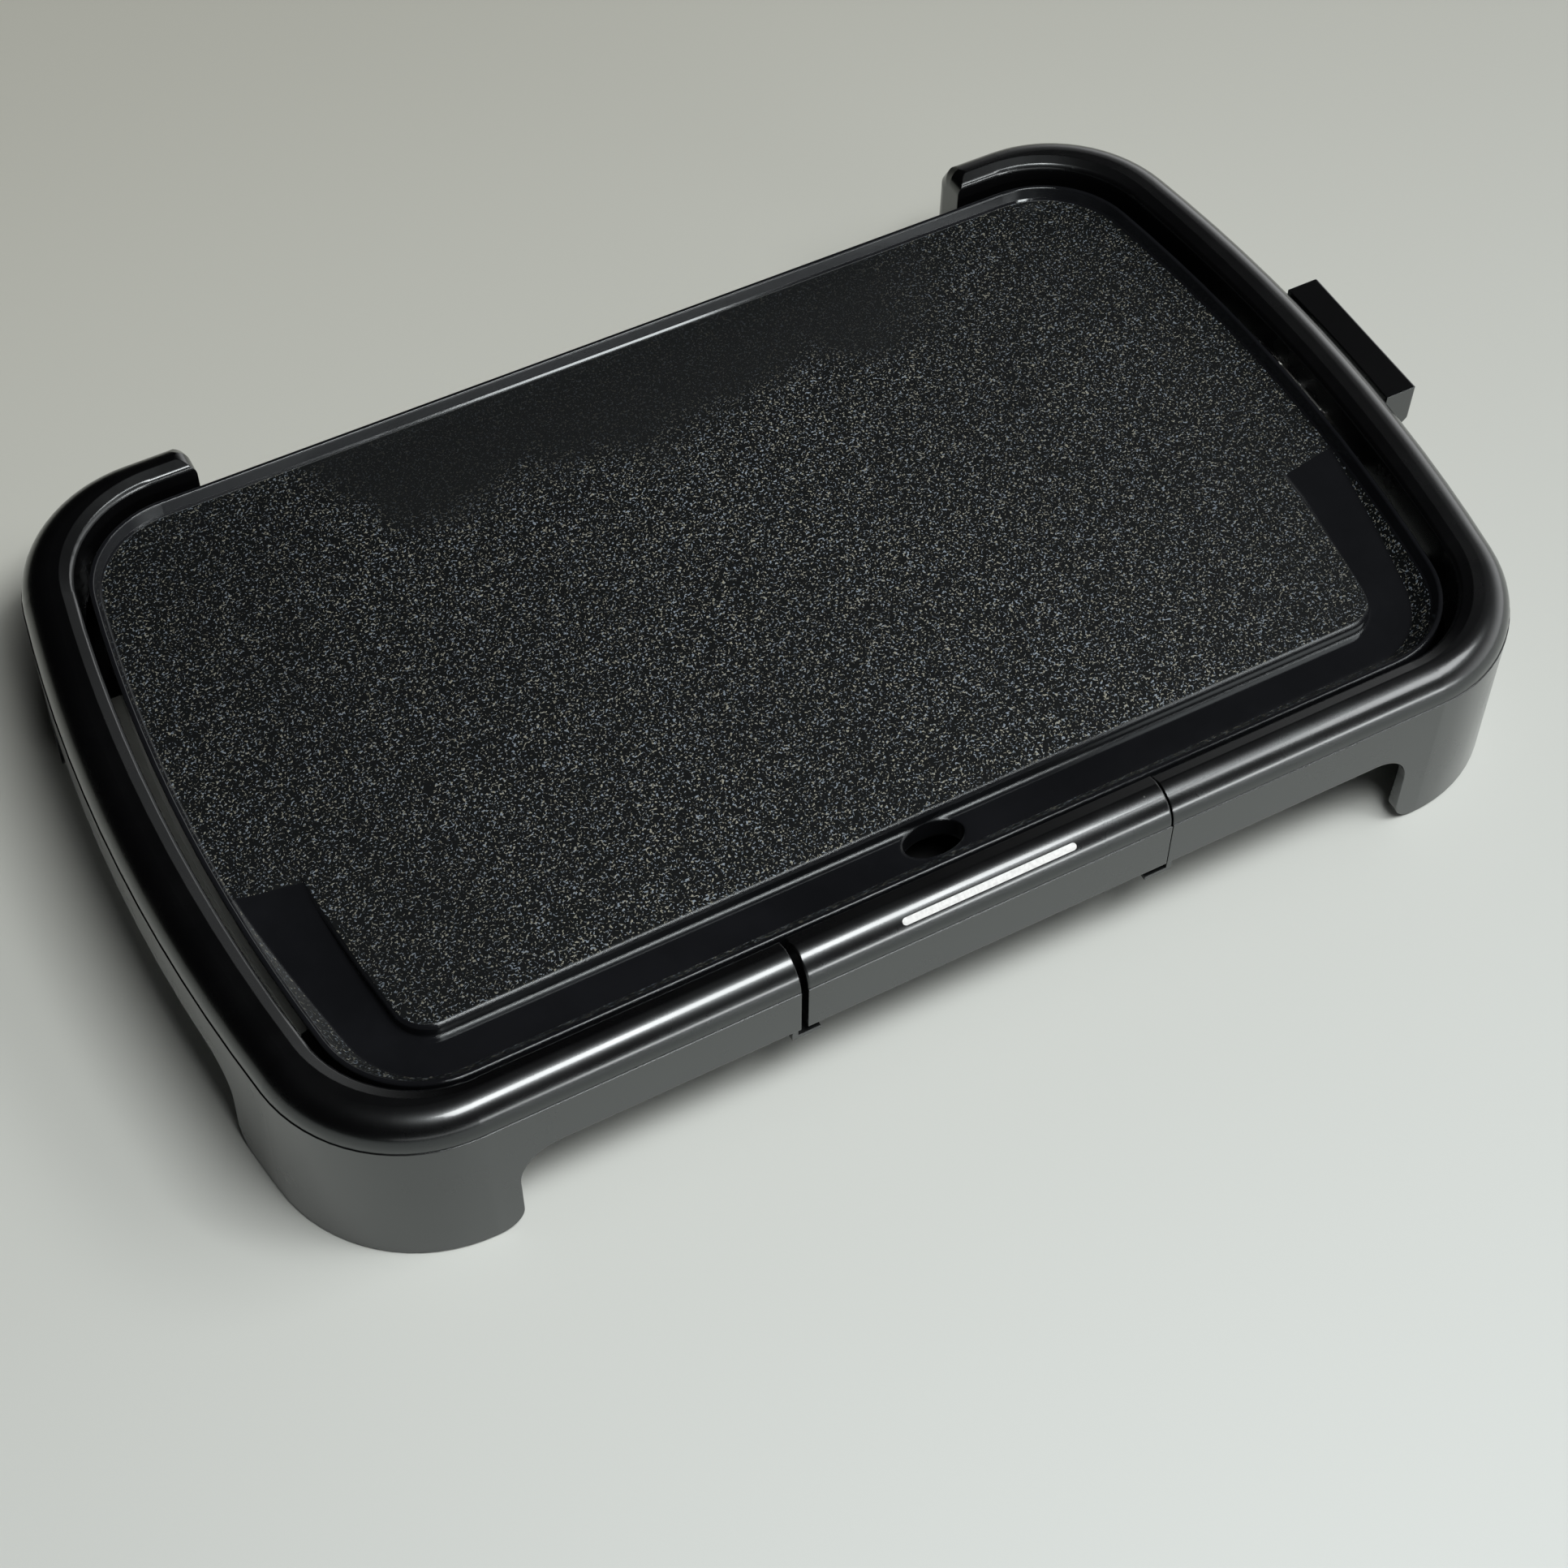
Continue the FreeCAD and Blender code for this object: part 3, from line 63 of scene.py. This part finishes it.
class Finish:
    """A Principled material with short ways to add nodes. Coordinates are the row frame's."""

    def __init__(self, name, color, roughness, metallic=0.0, **sockets):
        self.material = bpy.data.materials.new(name)
        self.material.use_nodes = True
        self.tree = self.material.node_tree
        self.shader = self.tree.nodes["Principled BSDF"]
        self.set(self.shader, "Base Color", (*color, 1.0))
        self.set(self.shader, "Roughness", roughness)
        self.set(self.shader, "Metallic", metallic)
        for socket, value in sockets.items():
            self.set(self.shader, socket.replace("_", " "), value)
        self.set(self.shader, "Specular Tint", COOL)
        self.place = self.tree.nodes.new("ShaderNodeTexCoord").outputs["Object"]
        self.normal = None

    def feed(self, target, value):
        """Give a socket a number, or link it to another node's output."""
        if isinstance(value, bpy.types.NodeSocket):
            self.tree.links.new(value, target)
        else:
            target.default_value = value

    def set(self, node, socket, value):
        """Feed a node's socket by its name."""
        self.feed(node.inputs[socket], value)

    def node(self, kind, settings=(), **sockets):
        """A new shader node with its settings, and its sockets fed by name."""
        made = self.tree.nodes.new("ShaderNode" + kind)
        for name, value in dict(settings).items():
            setattr(made, name, value)
        for socket, value in sockets.items():
            self.set(made, socket.replace("_", " "), value)
        return made

    def noise(self, size, detail=2.0, roughness=0.5, distortion=0.0):
        """Noise from 0 to 1 whose features are about size metres across."""
        made = self.node("TexNoise", Vector=self.place, Scale=1 / size, Detail=detail,
                         Roughness=roughness, Distortion=distortion)
        return made.outputs["Fac"]

    def ramp(self, value, low, high, to_low=0.0, to_high=1.0):
        """Map value from low..high to to_low..to_high, smoothly and clamped."""
        made = self.node("MapRange", {"interpolation_type": "SMOOTHSTEP"}, Value=value)
        for socket, number in (("From Min", low), ("From Max", high),
                               ("To Min", to_low), ("To Max", to_high)):
            self.set(made, socket, number)
        return made.outputs["Result"]

    def math(self, operation, first, second=0.0):
        """The result of one operation on two values, each a number or an output."""
        made = self.node("Math", {"operation": operation})
        for target, value in zip(made.inputs, (first, second)):
            self.feed(target, value)
        return made.outputs[0]

    def mix(self, factor, first, second):
        """Mix two colours, each three numbers or an output."""
        made = self.node("Mix", {"data_type": "RGBA"}, Factor=factor)
        colors = [socket for socket in made.inputs if socket.type == "RGBA"]
        for target, value in zip(colors, (first, second)):
            self.feed(target, value if isinstance(value, bpy.types.NodeSocket) else (*value, 1.0))
        return next(socket for socket in made.outputs if socket.type == "RGBA")

    def ease(self, radius):
        """Ease every sharp edge by a small radius, as a mould leaves it."""
        self.normal = self.node("Bevel", {"samples": EASE_SAMPLES}, Radius=radius).outputs["Normal"]

    def relief(self, height, depth):
        """Bump on top of the normal so far: a height of 1 is depth metres."""
        made = self.node("Bump", Height=height, Distance=depth, Strength=1.0)
        if self.normal is not None:
            self.set(made, "Normal", self.normal)
        self.normal = made.outputs["Normal"]
        self.set(self.shader, "Normal", self.normal)


def dust(finish, size, amount):
    """Sparse specks, 1 on a speck and 0 elsewhere."""
    cells = finish.node("TexVoronoi", Vector=finish.place, Scale=1 / size)
    distance = finish.ramp(cells.outputs["Distance"], 0.05, 0.11, 1.0, 0.0)
    chosen = finish.ramp(cells.outputs["Color"], 1.0 - amount, 1.0 - amount + 0.01)
    return finish.math("MULTIPLY", distance, chosen)


def gloss_plastic(name, color, roughness, edge):
    """Moulded plastic: faint orange peel, smeared gloss, a little dust and eased edges."""
    finish = Finish(name, color, roughness, Specular_IOR_Level=0.72, Coat_Weight=0.4,
                    Coat_Roughness=0.09)
    smear = finish.noise(28 * MM, 4.0, 0.6)
    finish.set(finish.shader, "Roughness",
               finish.ramp(smear, *NOISE_RANGE, roughness * 0.93, roughness * 1.1))
    specks = dust(finish, 6 * MM, 0.1)
    finish.set(finish.shader, "Base Color", finish.mix(
        finish.math("MULTIPLY", specks, 0.3), color, (0.30, 0.30, 0.28)))
    finish.ease(edge)
    finish.relief(finish.noise(2.2 * MM, 1.0), 0.003 * MM)
    return finish.material


PATCH_LEFT = (-134 * MM, -104 * MM)
PATCH_RIGHT = (84 * MM, 142 * MM)
PATCH_FRONT = (58 * MM, 98 * MM)
PATCH_RAGGED_X = 70 * MM
PATCH_RAGGED_Y = 50 * MM


def seasoned_patch(finish, split):
    """1 in the darker, smoother patch along the back of the surface, 0 elsewhere."""
    ragged = finish.math("SUBTRACT", finish.noise(42 * MM, 2.0, 0.5), 0.5)
    x = finish.math("ADD", split.outputs["X"], finish.math("MULTIPLY", ragged, PATCH_RAGGED_X))
    y = finish.math("ADD", split.outputs["Y"], finish.math("MULTIPLY", ragged, PATCH_RAGGED_Y))
    behind_front = finish.ramp(y, *PATCH_FRONT)
    between_ends = finish.math("MULTIPLY", finish.ramp(x, *PATCH_LEFT),
                               finish.ramp(x, *PATCH_RIGHT, 1.0, 0.0))
    return finish.math("MULTIPLY", behind_front, between_ends)


WORM_SIZE = 1.5 * MM
BREAK_SIZE = 0.9 * MM
TINT_SIZE = 1.1 * MM
WRINKLE_DEPTH = 0.09 * MM
PAINTED_GLINT_FADE = (50 * MM, 190 * MM)


def wrinkle_coating():
    """Non-stick coating on the textured middle: worm-like wrinkles under a millimetre wide, their
    tips coloured lighter as painted glints.
    """
    valley = (0.0040, 0.0046, 0.0048)
    # The tips' lighter colours are painted glints, cool and warm; the valleys are the coating's own
    # colour.
    cool_painted_glint, warm_painted_glint = (0.220, 0.264, 0.310), (0.292, 0.286, 0.227)
    roughness, patch_roughness = 0.34, 0.42
    finish = Finish("nonstick_wrinkle", valley, roughness, Specular_IOR_Level=0.6)
    split = finish.node("SeparateXYZ", Vector=finish.place)
    worms = finish.noise(WORM_SIZE, 0.0, 0.5, 0.9)
    ridges = finish.math("ABSOLUTE", finish.math("SUBTRACT", worms, 0.5))
    lines = finish.ramp(ridges, 0.015, 0.085, 1.0, 0.0)
    broken = finish.ramp(finish.noise(BREAK_SIZE, 0.0), 0.48, 0.6)
    height = finish.math("MULTIPLY", lines, broken)
    patch = seasoned_patch(finish, split)
    # Painted glint strength: it varies at random, fades towards the plate's ends and nearly goes in
    # the patch.
    painted_glint_strength = finish.ramp(finish.noise(80 * MM, 3.0, 0.5), *NOISE_RANGE, 0.8, 1.15)
    from_middle = finish.math("ABSOLUTE", finish.math("SUBTRACT", split.outputs["X"], PLATE_X))
    painted_glint_strength = finish.math("MULTIPLY", painted_glint_strength, finish.ramp(from_middle, *PAINTED_GLINT_FADE, 1.0, 0.6))
    painted_glint_amount = finish.math("MULTIPLY", painted_glint_strength, finish.ramp(patch, 0.0, 1.0, 1.0, 0.06))
    tint = finish.ramp(finish.noise(TINT_SIZE, 0.0), 0.42, 0.58)
    finish.set(finish.shader, "Base Color", finish.mix(
        finish.math("MULTIPLY", height, painted_glint_amount), valley, finish.mix(tint, cool_painted_glint, warm_painted_glint)))
    finish.set(finish.shader, "Roughness", finish.ramp(patch, 0.0, 1.0, roughness, patch_roughness))
    finish.ease(0.9 * MM)
    flattened = finish.ramp(patch, 0.0, 1.0, 1.0, 0.3)
    finish.relief(finish.math("MULTIPLY", height, flattened), WRINKLE_DEPTH)
    return finish.material


def smooth_coating(name, edge):
    """The same coating where the casting is smooth: channel, rim and edges."""
    color, haze_color = (0.0058, 0.0062, 0.0072), (0.0085, 0.009, 0.0105)
    least_rough, most_rough = 0.07, 0.10
    finish = Finish(name, color, least_rough, Specular_IOR_Level=0.7)
    haze = finish.noise(35 * MM, 4.0, 0.6)
    finish.set(finish.shader, "Roughness",
               finish.ramp(haze, *NOISE_RANGE, least_rough, most_rough))
    finish.set(finish.shader, "Base Color", finish.mix(
        finish.ramp(haze, 0.3, 0.75), color, haze_color))
    finish.ease(edge)
    finish.relief(finish.noise(0.5 * MM, 2.0), 0.004 * MM)
    return finish


FOOT_HEIGHT = 1.0 * MM
FOOT_SLOPE = 0.87


def rim_coating():
    """The smooth coating on the rim, with a bump like a small chamfer at the wall's foot."""
    finish = smooth_coating("nonstick_rim", 0.4 * MM)
    finish.set(finish.shader, "Specular IOR Level", 0.45)
    split = finish.node("SeparateXYZ", Vector=finish.place)
    below = finish.math("SUBTRACT", SURFACE_LEVEL + FOOT_HEIGHT, split.outputs["Z"])
    finish.relief(finish.math("MAXIMUM", below, 0.0), FOOT_SLOPE)
    return finish.material


def metal(name, color, roughness, grain):
    """Metal with fine grain and uneven dulling."""
    finish = Finish(name, color, roughness, 1.0)
    dull = finish.noise(9 * MM, 4.0, 0.65)
    finish.set(finish.shader, "Roughness",
               finish.ramp(dull, *NOISE_RANGE, roughness * 0.8, roughness * 1.35))
    finish.set(finish.shader, "Base Color", finish.mix(
        finish.ramp(dull, 0.25, 0.8), color, tuple(part * 0.7 for part in color)))
    finish.relief(finish.noise(grain, 3.0), 0.02 * MM)
    return finish.material


def dull_solid(name, color, roughness, grain, depth):
    """Rubber, ceramic and phenolic: matt, with a fine even grain and slight mottling."""
    finish = Finish(name, color, roughness)
    finish.set(finish.shader, "Base Color", finish.mix(
        finish.ramp(finish.noise(4 * MM, 4.0), *NOISE_RANGE), color,
        tuple(part * 0.75 for part in color)))
    finish.relief(finish.noise(grain, 3.0), depth)
    return finish.material


def assign(node_names, material):
    """Make this the only material of these nodes."""
    for name in node_names:
        mesh = nodes[name].data
        mesh.materials.clear()
        mesh.materials.append(material)


def ending(*words):
    """The nodes whose names end in one of these words."""
    return [name for name in nodes if name.endswith(words)]


BLACK = (0.0016, 0.0016, 0.0018)
frame_gloss = gloss_plastic("frame_gloss_black", BLACK, 0.26, 0.5 * MM)
assign(["base_frame", "tray_front"], frame_gloss)
assign(["probe_shroud"], gloss_plastic("shroud_black", BLACK, 0.2, 0.5 * MM))
assign(["drip_tray"], gloss_plastic("pan_satin_black", (0.006, 0.006, 0.0065), 0.4, 0.4 * MM))
assign(ending("tray_rail"), gloss_plastic("rail_satin_black", BLACK, 0.4, 0.3 * MM))
assign(["heating_element"], metal("element_dark_steel", (0.16, 0.15, 0.14), 0.45, 0.6 * MM))
assign(ending("_terminal_pin"), metal("pin_steel", (0.62, 0.61, 0.59), 0.25, 0.4 * MM))
assign(["probe_sleeve", "terminal_guard"],
       metal("plated_steel", (0.55, 0.55, 0.54), 0.3, 0.4 * MM))
assign(ending("screws"), metal("zinc_plated_steel", (0.5, 0.5, 0.49), 0.32, 0.3 * MM))
assign(ending("_bead"), dull_solid("ceramic", (0.72, 0.7, 0.64), 0.6, 0.3 * MM, 0.01 * MM))
assign(ending("_washer"), dull_solid("phenolic", (0.10, 0.055, 0.03), 0.5, 0.4 * MM, 0.01 * MM))
assign(ending("_foot_pad"), dull_solid("foot_rubber", (0.022, 0.022, 0.022), 0.8, 0.3 * MM,
                                       0.015 * MM))


LEVEL_ROOM = 0.2 * MM


def finish_plate():
    """Wrinkled coating on the flat middle and the channel's outer slope, smooth elsewhere."""
    mesh = nodes["cooking_plate"].data
    mesh.materials.clear()
    for material in (smooth_coating("nonstick_smooth", 1.8 * MM).material, wrinkle_coating(),
                     metal("cast_aluminium", (0.42, 0.42, 0.41), 0.5, 0.5 * MM), rim_coating()):
        mesh.materials.append(material)
    smooth, wrinkled, cast, rim = range(4)
    for face in mesh.polygons:
        level, up = face.center.z, face.normal.z
        highest = max(mesh.vertices[index].co.z for index in face.vertices)
        faces_middle = (face.center.x - PLATE_X) * face.normal.x + face.center.y * face.normal.y < 0
        flat_top = up > 0.99 and abs(level - SURFACE_LEVEL) < LEVEL_ROOM
        outer_slope = 0.6 < up < 0.8 and level < SURFACE_LEVEL and faces_middle
        underneath = up < -0.5 or highest < CHANNEL_FLOOR - 1 * MM
        raised = level > SURFACE_LEVEL + LEVEL_ROOM and (faces_middle or up > 0.9)
        if flat_top or outer_slope:
            face.material_index = wrinkled
        elif underneath:
            face.material_index = cast
        else:
            face.material_index = rim if raised else smooth


finish_plate()


def smooth_by_angle(mesh, degrees):
    """Shade smooth, but keep every edge sharper than this crisp."""
    mesh.shade_smooth()
    mesh.set_sharp_from_angle(angle=math.radians(degrees))


CRISP_ANGLE = 30

for node in nodes.values():
    smooth_by_angle(node.data, CRISP_ANGLE)


# ---------------------------------------------------------------- printed stripe

STRIPE_LENGTH = 62 * MM
STRIPE_WIDTH = 2.6 * MM
STRIPE_TILT = math.radians(36)
ROLL_RADIUS = 9.7 * MM
PRINT_PROUD = 0.07 * MM
PRINT_SUNK = 0.03 * MM


def stripe_half_width(along):
    """Half the stripe's width at this distance from its middle; its ends are round."""
    radius = STRIPE_WIDTH / 2
    past = max(0.0, abs(along) - (STRIPE_LENGTH / 2 - radius))
    return math.sqrt(max(0.0, radius ** 2 - past ** 2))


def make_stripe():
    """A plain white stripe printed along the roll of the tray's front."""
    tree = BVHTree.FromObject(nodes["tray_front"], bpy.context.evaluated_depsgraph_get())
    axis_y = tray_low.y + ROLL_RADIUS
    axis_z = tray_high.z - ROLL_RADIUS
    radius = STRIPE_WIDTH / 2
    straight = STRIPE_LENGTH / 2 - radius
    end_steps, middle_steps, rows = 8, 40, 6
    stations = [-straight - radius * math.cos(math.pi / 2 * step / end_steps)
                for step in range(end_steps)]
    stations += [straight * (2 * step / middle_steps - 1) for step in range(middle_steps + 1)]
    stations += [-station for station in reversed(stations[:end_steps])]
    made = bmesh.new()
    layers = {lift: [] for lift in (PRINT_PROUD, -PRINT_SUNK)}
    for station in stations:
        half = max(stripe_half_width(station), 0.05 * MM)
        columns = {lift: [] for lift in layers}
        for row in range(rows + 1):
            angle = STRIPE_TILT + half * (1 - 2 * row / rows) / ROLL_RADIUS
            outward = Vector((0.0, -math.sin(angle), math.cos(angle)))
            start = Vector((TRAY_X + station, axis_y, axis_z)) + outward * ROLL_RADIUS * 2
            hit, _, _, _ = tree.ray_cast(start, -outward)
            for lift, column in columns.items():
                column.append(made.verts.new(hit + outward * lift))
        for lift, column in columns.items():
            layers[lift].append(column)
    top, bottom = layers[PRINT_PROUD], layers[-PRINT_SUNK]
    for step in range(len(stations) - 1):
        for row in range(rows):
            for layer in (top, bottom):
                made.faces.new((layer[step][row], layer[step][row + 1],
                                layer[step + 1][row + 1], layer[step + 1][row]))
        for row in (0, rows):
            made.faces.new((top[step][row], top[step + 1][row],
                            bottom[step + 1][row], bottom[step][row]))
    for step in (0, -1):
        for row in range(rows):
            made.faces.new((top[step][row], bottom[step][row],
                            bottom[step][row + 1], top[step][row + 1]))
    bmesh.ops.recalc_face_normals(made, faces=made.faces)
    mesh = bpy.data.meshes.new("printed_stripe")
    made.to_mesh(mesh)
    made.free()
    stripe = bpy.data.objects.new("printed_stripe", mesh)
    bpy.context.scene.collection.objects.link(stripe)
    white, thin_white = (0.74, 0.75, 0.74), (0.62, 0.63, 0.62)
    finish = Finish("printed_white", white, 0.4, Coat_Weight=0.4, Coat_Roughness=0.12)
    finish.set(finish.shader, "Base Color", finish.mix(
        finish.ramp(finish.noise(1.2 * MM, 3.0), 0.35, 0.7), white, thin_white))
    finish.relief(finish.noise(0.25 * MM, 2.0), 0.005 * MM)
    mesh.materials.append(finish.material)
    smooth_by_angle(mesh, CRISP_ANGLE)
    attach(stripe, "tray")


make_stripe()


# ---------------------------------------------------------------- floor

FLOOR_HALF = 4.0
FLOOR_FADE_Y = (-0.5, 0.6)
FLOOR_FADE_X = (-0.5, 0.55)
FLOOR_PAINTED_SHADE = 0.2


def make_floor():
    """A pale table with painted shade: it turns a little warmer and darker to the back and darker
    to the right.
    """
    mesh = bpy.data.meshes.new("floor")
    corners = [(x * FLOOR_HALF, y * FLOOR_HALF, 0) for x, y in ((-1, -1), (1, -1), (1, 1), (-1, 1))]
    mesh.from_pydata(corners, [], [(0, 1, 2, 3)])
    floor = bpy.data.objects.new("floor", mesh)
    bpy.context.scene.collection.objects.link(floor)
    # Painted shade: the far colour is darker and warmer than the near one, and the floor darkens
    # towards the right.
    near, far = (0.655, 0.690, 0.668), (0.622, 0.626, 0.552)
    finish = Finish("pale_floor", near, 0.5)
    split = finish.node("SeparateXYZ", Vector=finish.place)
    depth = finish.ramp(split.outputs["Y"], *FLOOR_FADE_Y)
    shade = finish.ramp(split.outputs["X"], *FLOOR_FADE_X, 0.0, FLOOR_PAINTED_SHADE)
    finish.set(finish.shader, "Base Color", finish.mix(
        shade, finish.mix(depth, near, far), (0.0, 0.0, 0.0)))
    finish.relief(finish.noise(1.2 * MM, 2.0), 0.01 * MM)
    mesh.materials.append(finish.material)


make_floor()


# ---------------------------------------------------------------- lights and camera

def aim(thing, place, target):
    """Put a light at a place so that it shines at the target."""
    thing.location = place
    direction = Vector(target) - Vector(place)
    thing.rotation_euler = direction.to_track_quat("-Z", "Y").to_euler()


def area_light(name, place, target, size, radiance):
    """A soft rectangular light of the given radiance: its power grows with its area."""
    light = bpy.data.lights.new(name, "AREA")
    light.shape = "RECTANGLE"
    light.size, light.size_y = size
    light.energy = radiance * math.pi * size[0] * size[1]
    made = bpy.data.objects.new(name, light)
    bpy.context.scene.collection.objects.link(made)
    aim(made, place, target)


PANEL_Y = -0.62
PANEL_HEIGHT = 1.5
PANEL_DEPTH = 0.4

area_light("main_panel", (0.2, PANEL_Y, PANEL_HEIGHT), (0.0, -0.1, 0.0), (0.9, PANEL_DEPTH), 19.5)
area_light("side_panel", (1.15, PANEL_Y, PANEL_HEIGHT), (0.2, -0.1, 0.0), (1.0, PANEL_DEPTH), 7.5)


class Room:
    """The surroundings, as brightness by direction."""

    def __init__(self, name):
        self.world = bpy.data.worlds.new(name)
        bpy.context.scene.world = self.world
        self.world.use_nodes = True
        self.tree = self.world.node_tree
        place = self.tree.nodes.new("ShaderNodeTexCoord").outputs["Generated"]
        split = self.tree.nodes.new("ShaderNodeSeparateXYZ")
        self.tree.links.new(place, split.inputs[0])
        self.axes = split.outputs

    def along(self, axis, start, end, low, high):
        """Brightness that goes smoothly from low to high as the direction's axis part grows."""
        shade = self.tree.nodes.new("ShaderNodeMapRange")
        shade.interpolation_type = "SMOOTHSTEP"
        self.tree.links.new(self.axes[axis], shade.inputs["Value"])
        for socket, number in (("From Min", start), ("From Max", end),
                               ("To Min", low), ("To Max", high)):
            shade.inputs[socket].default_value = number
        return shade.outputs["Result"]

    def combine(self, operation, values):
        """One value from several, by the same operation between each two."""
        total = values[0]
        for value in values[1:]:
            made = self.tree.nodes.new("ShaderNodeMath")
            made.operation = operation
            for target, source in zip(made.inputs, (total, value)):
                self.tree.links.new(source, target)
            total = made.outputs[0]
        return total


WINDOW_RADIANCE = 15.0
WALL_RADIANCE = 1.6


def make_world():
    """A grey wall to the right, a long window low in front, dark elsewhere."""
    room = Room("room")
    wall = room.combine("MULTIPLY", [
        room.along("X", 0.3, 0.85, 0.0, WALL_RADIANCE), room.along("Z", 0.12, 0.62, 1.0, 0.04)])
    window = room.combine("MULTIPLY", [
        room.along("Y", -0.95, -0.7, WINDOW_RADIANCE, 0.0), room.along("X", 0.05, 0.3, 0.1, 1.0),
        room.along("Z", 0.05, 0.1, 0.0, 1.0), room.along("Z", 0.15, 0.22, 1.0, 0.0)])
    background = room.tree.nodes["Background"]
    room.tree.links.new(room.combine("ADD", [wall, window]), background.inputs["Color"])


make_world()

EYE = Vector((-0.3055, -0.5431, 0.7908))
AHEAD = Vector((0.2920, 0.5152, -0.8058)).normalized()
SENSOR_WIDTH = 36.0
LENS = 65.76


def make_camera():
    """The camera at the viewing angle of the photograph."""
    data = bpy.data.cameras.new("camera")
    data.sensor_width = SENSOR_WIDTH
    data.lens = LENS
    camera = bpy.data.objects.new("camera", data)
    bpy.context.scene.collection.objects.link(camera)
    right = Vector((0.8799, -0.4750, 0.0152)).normalized()
    up = right.cross(AHEAD)
    turn = Matrix((right, up, -AHEAD)).transposed().to_4x4()
    camera.matrix_world = Matrix.Translation(EYE) @ turn
    bpy.context.scene.camera = camera


make_camera()
bpy.context.scene.view_settings.view_transform = "Standard"
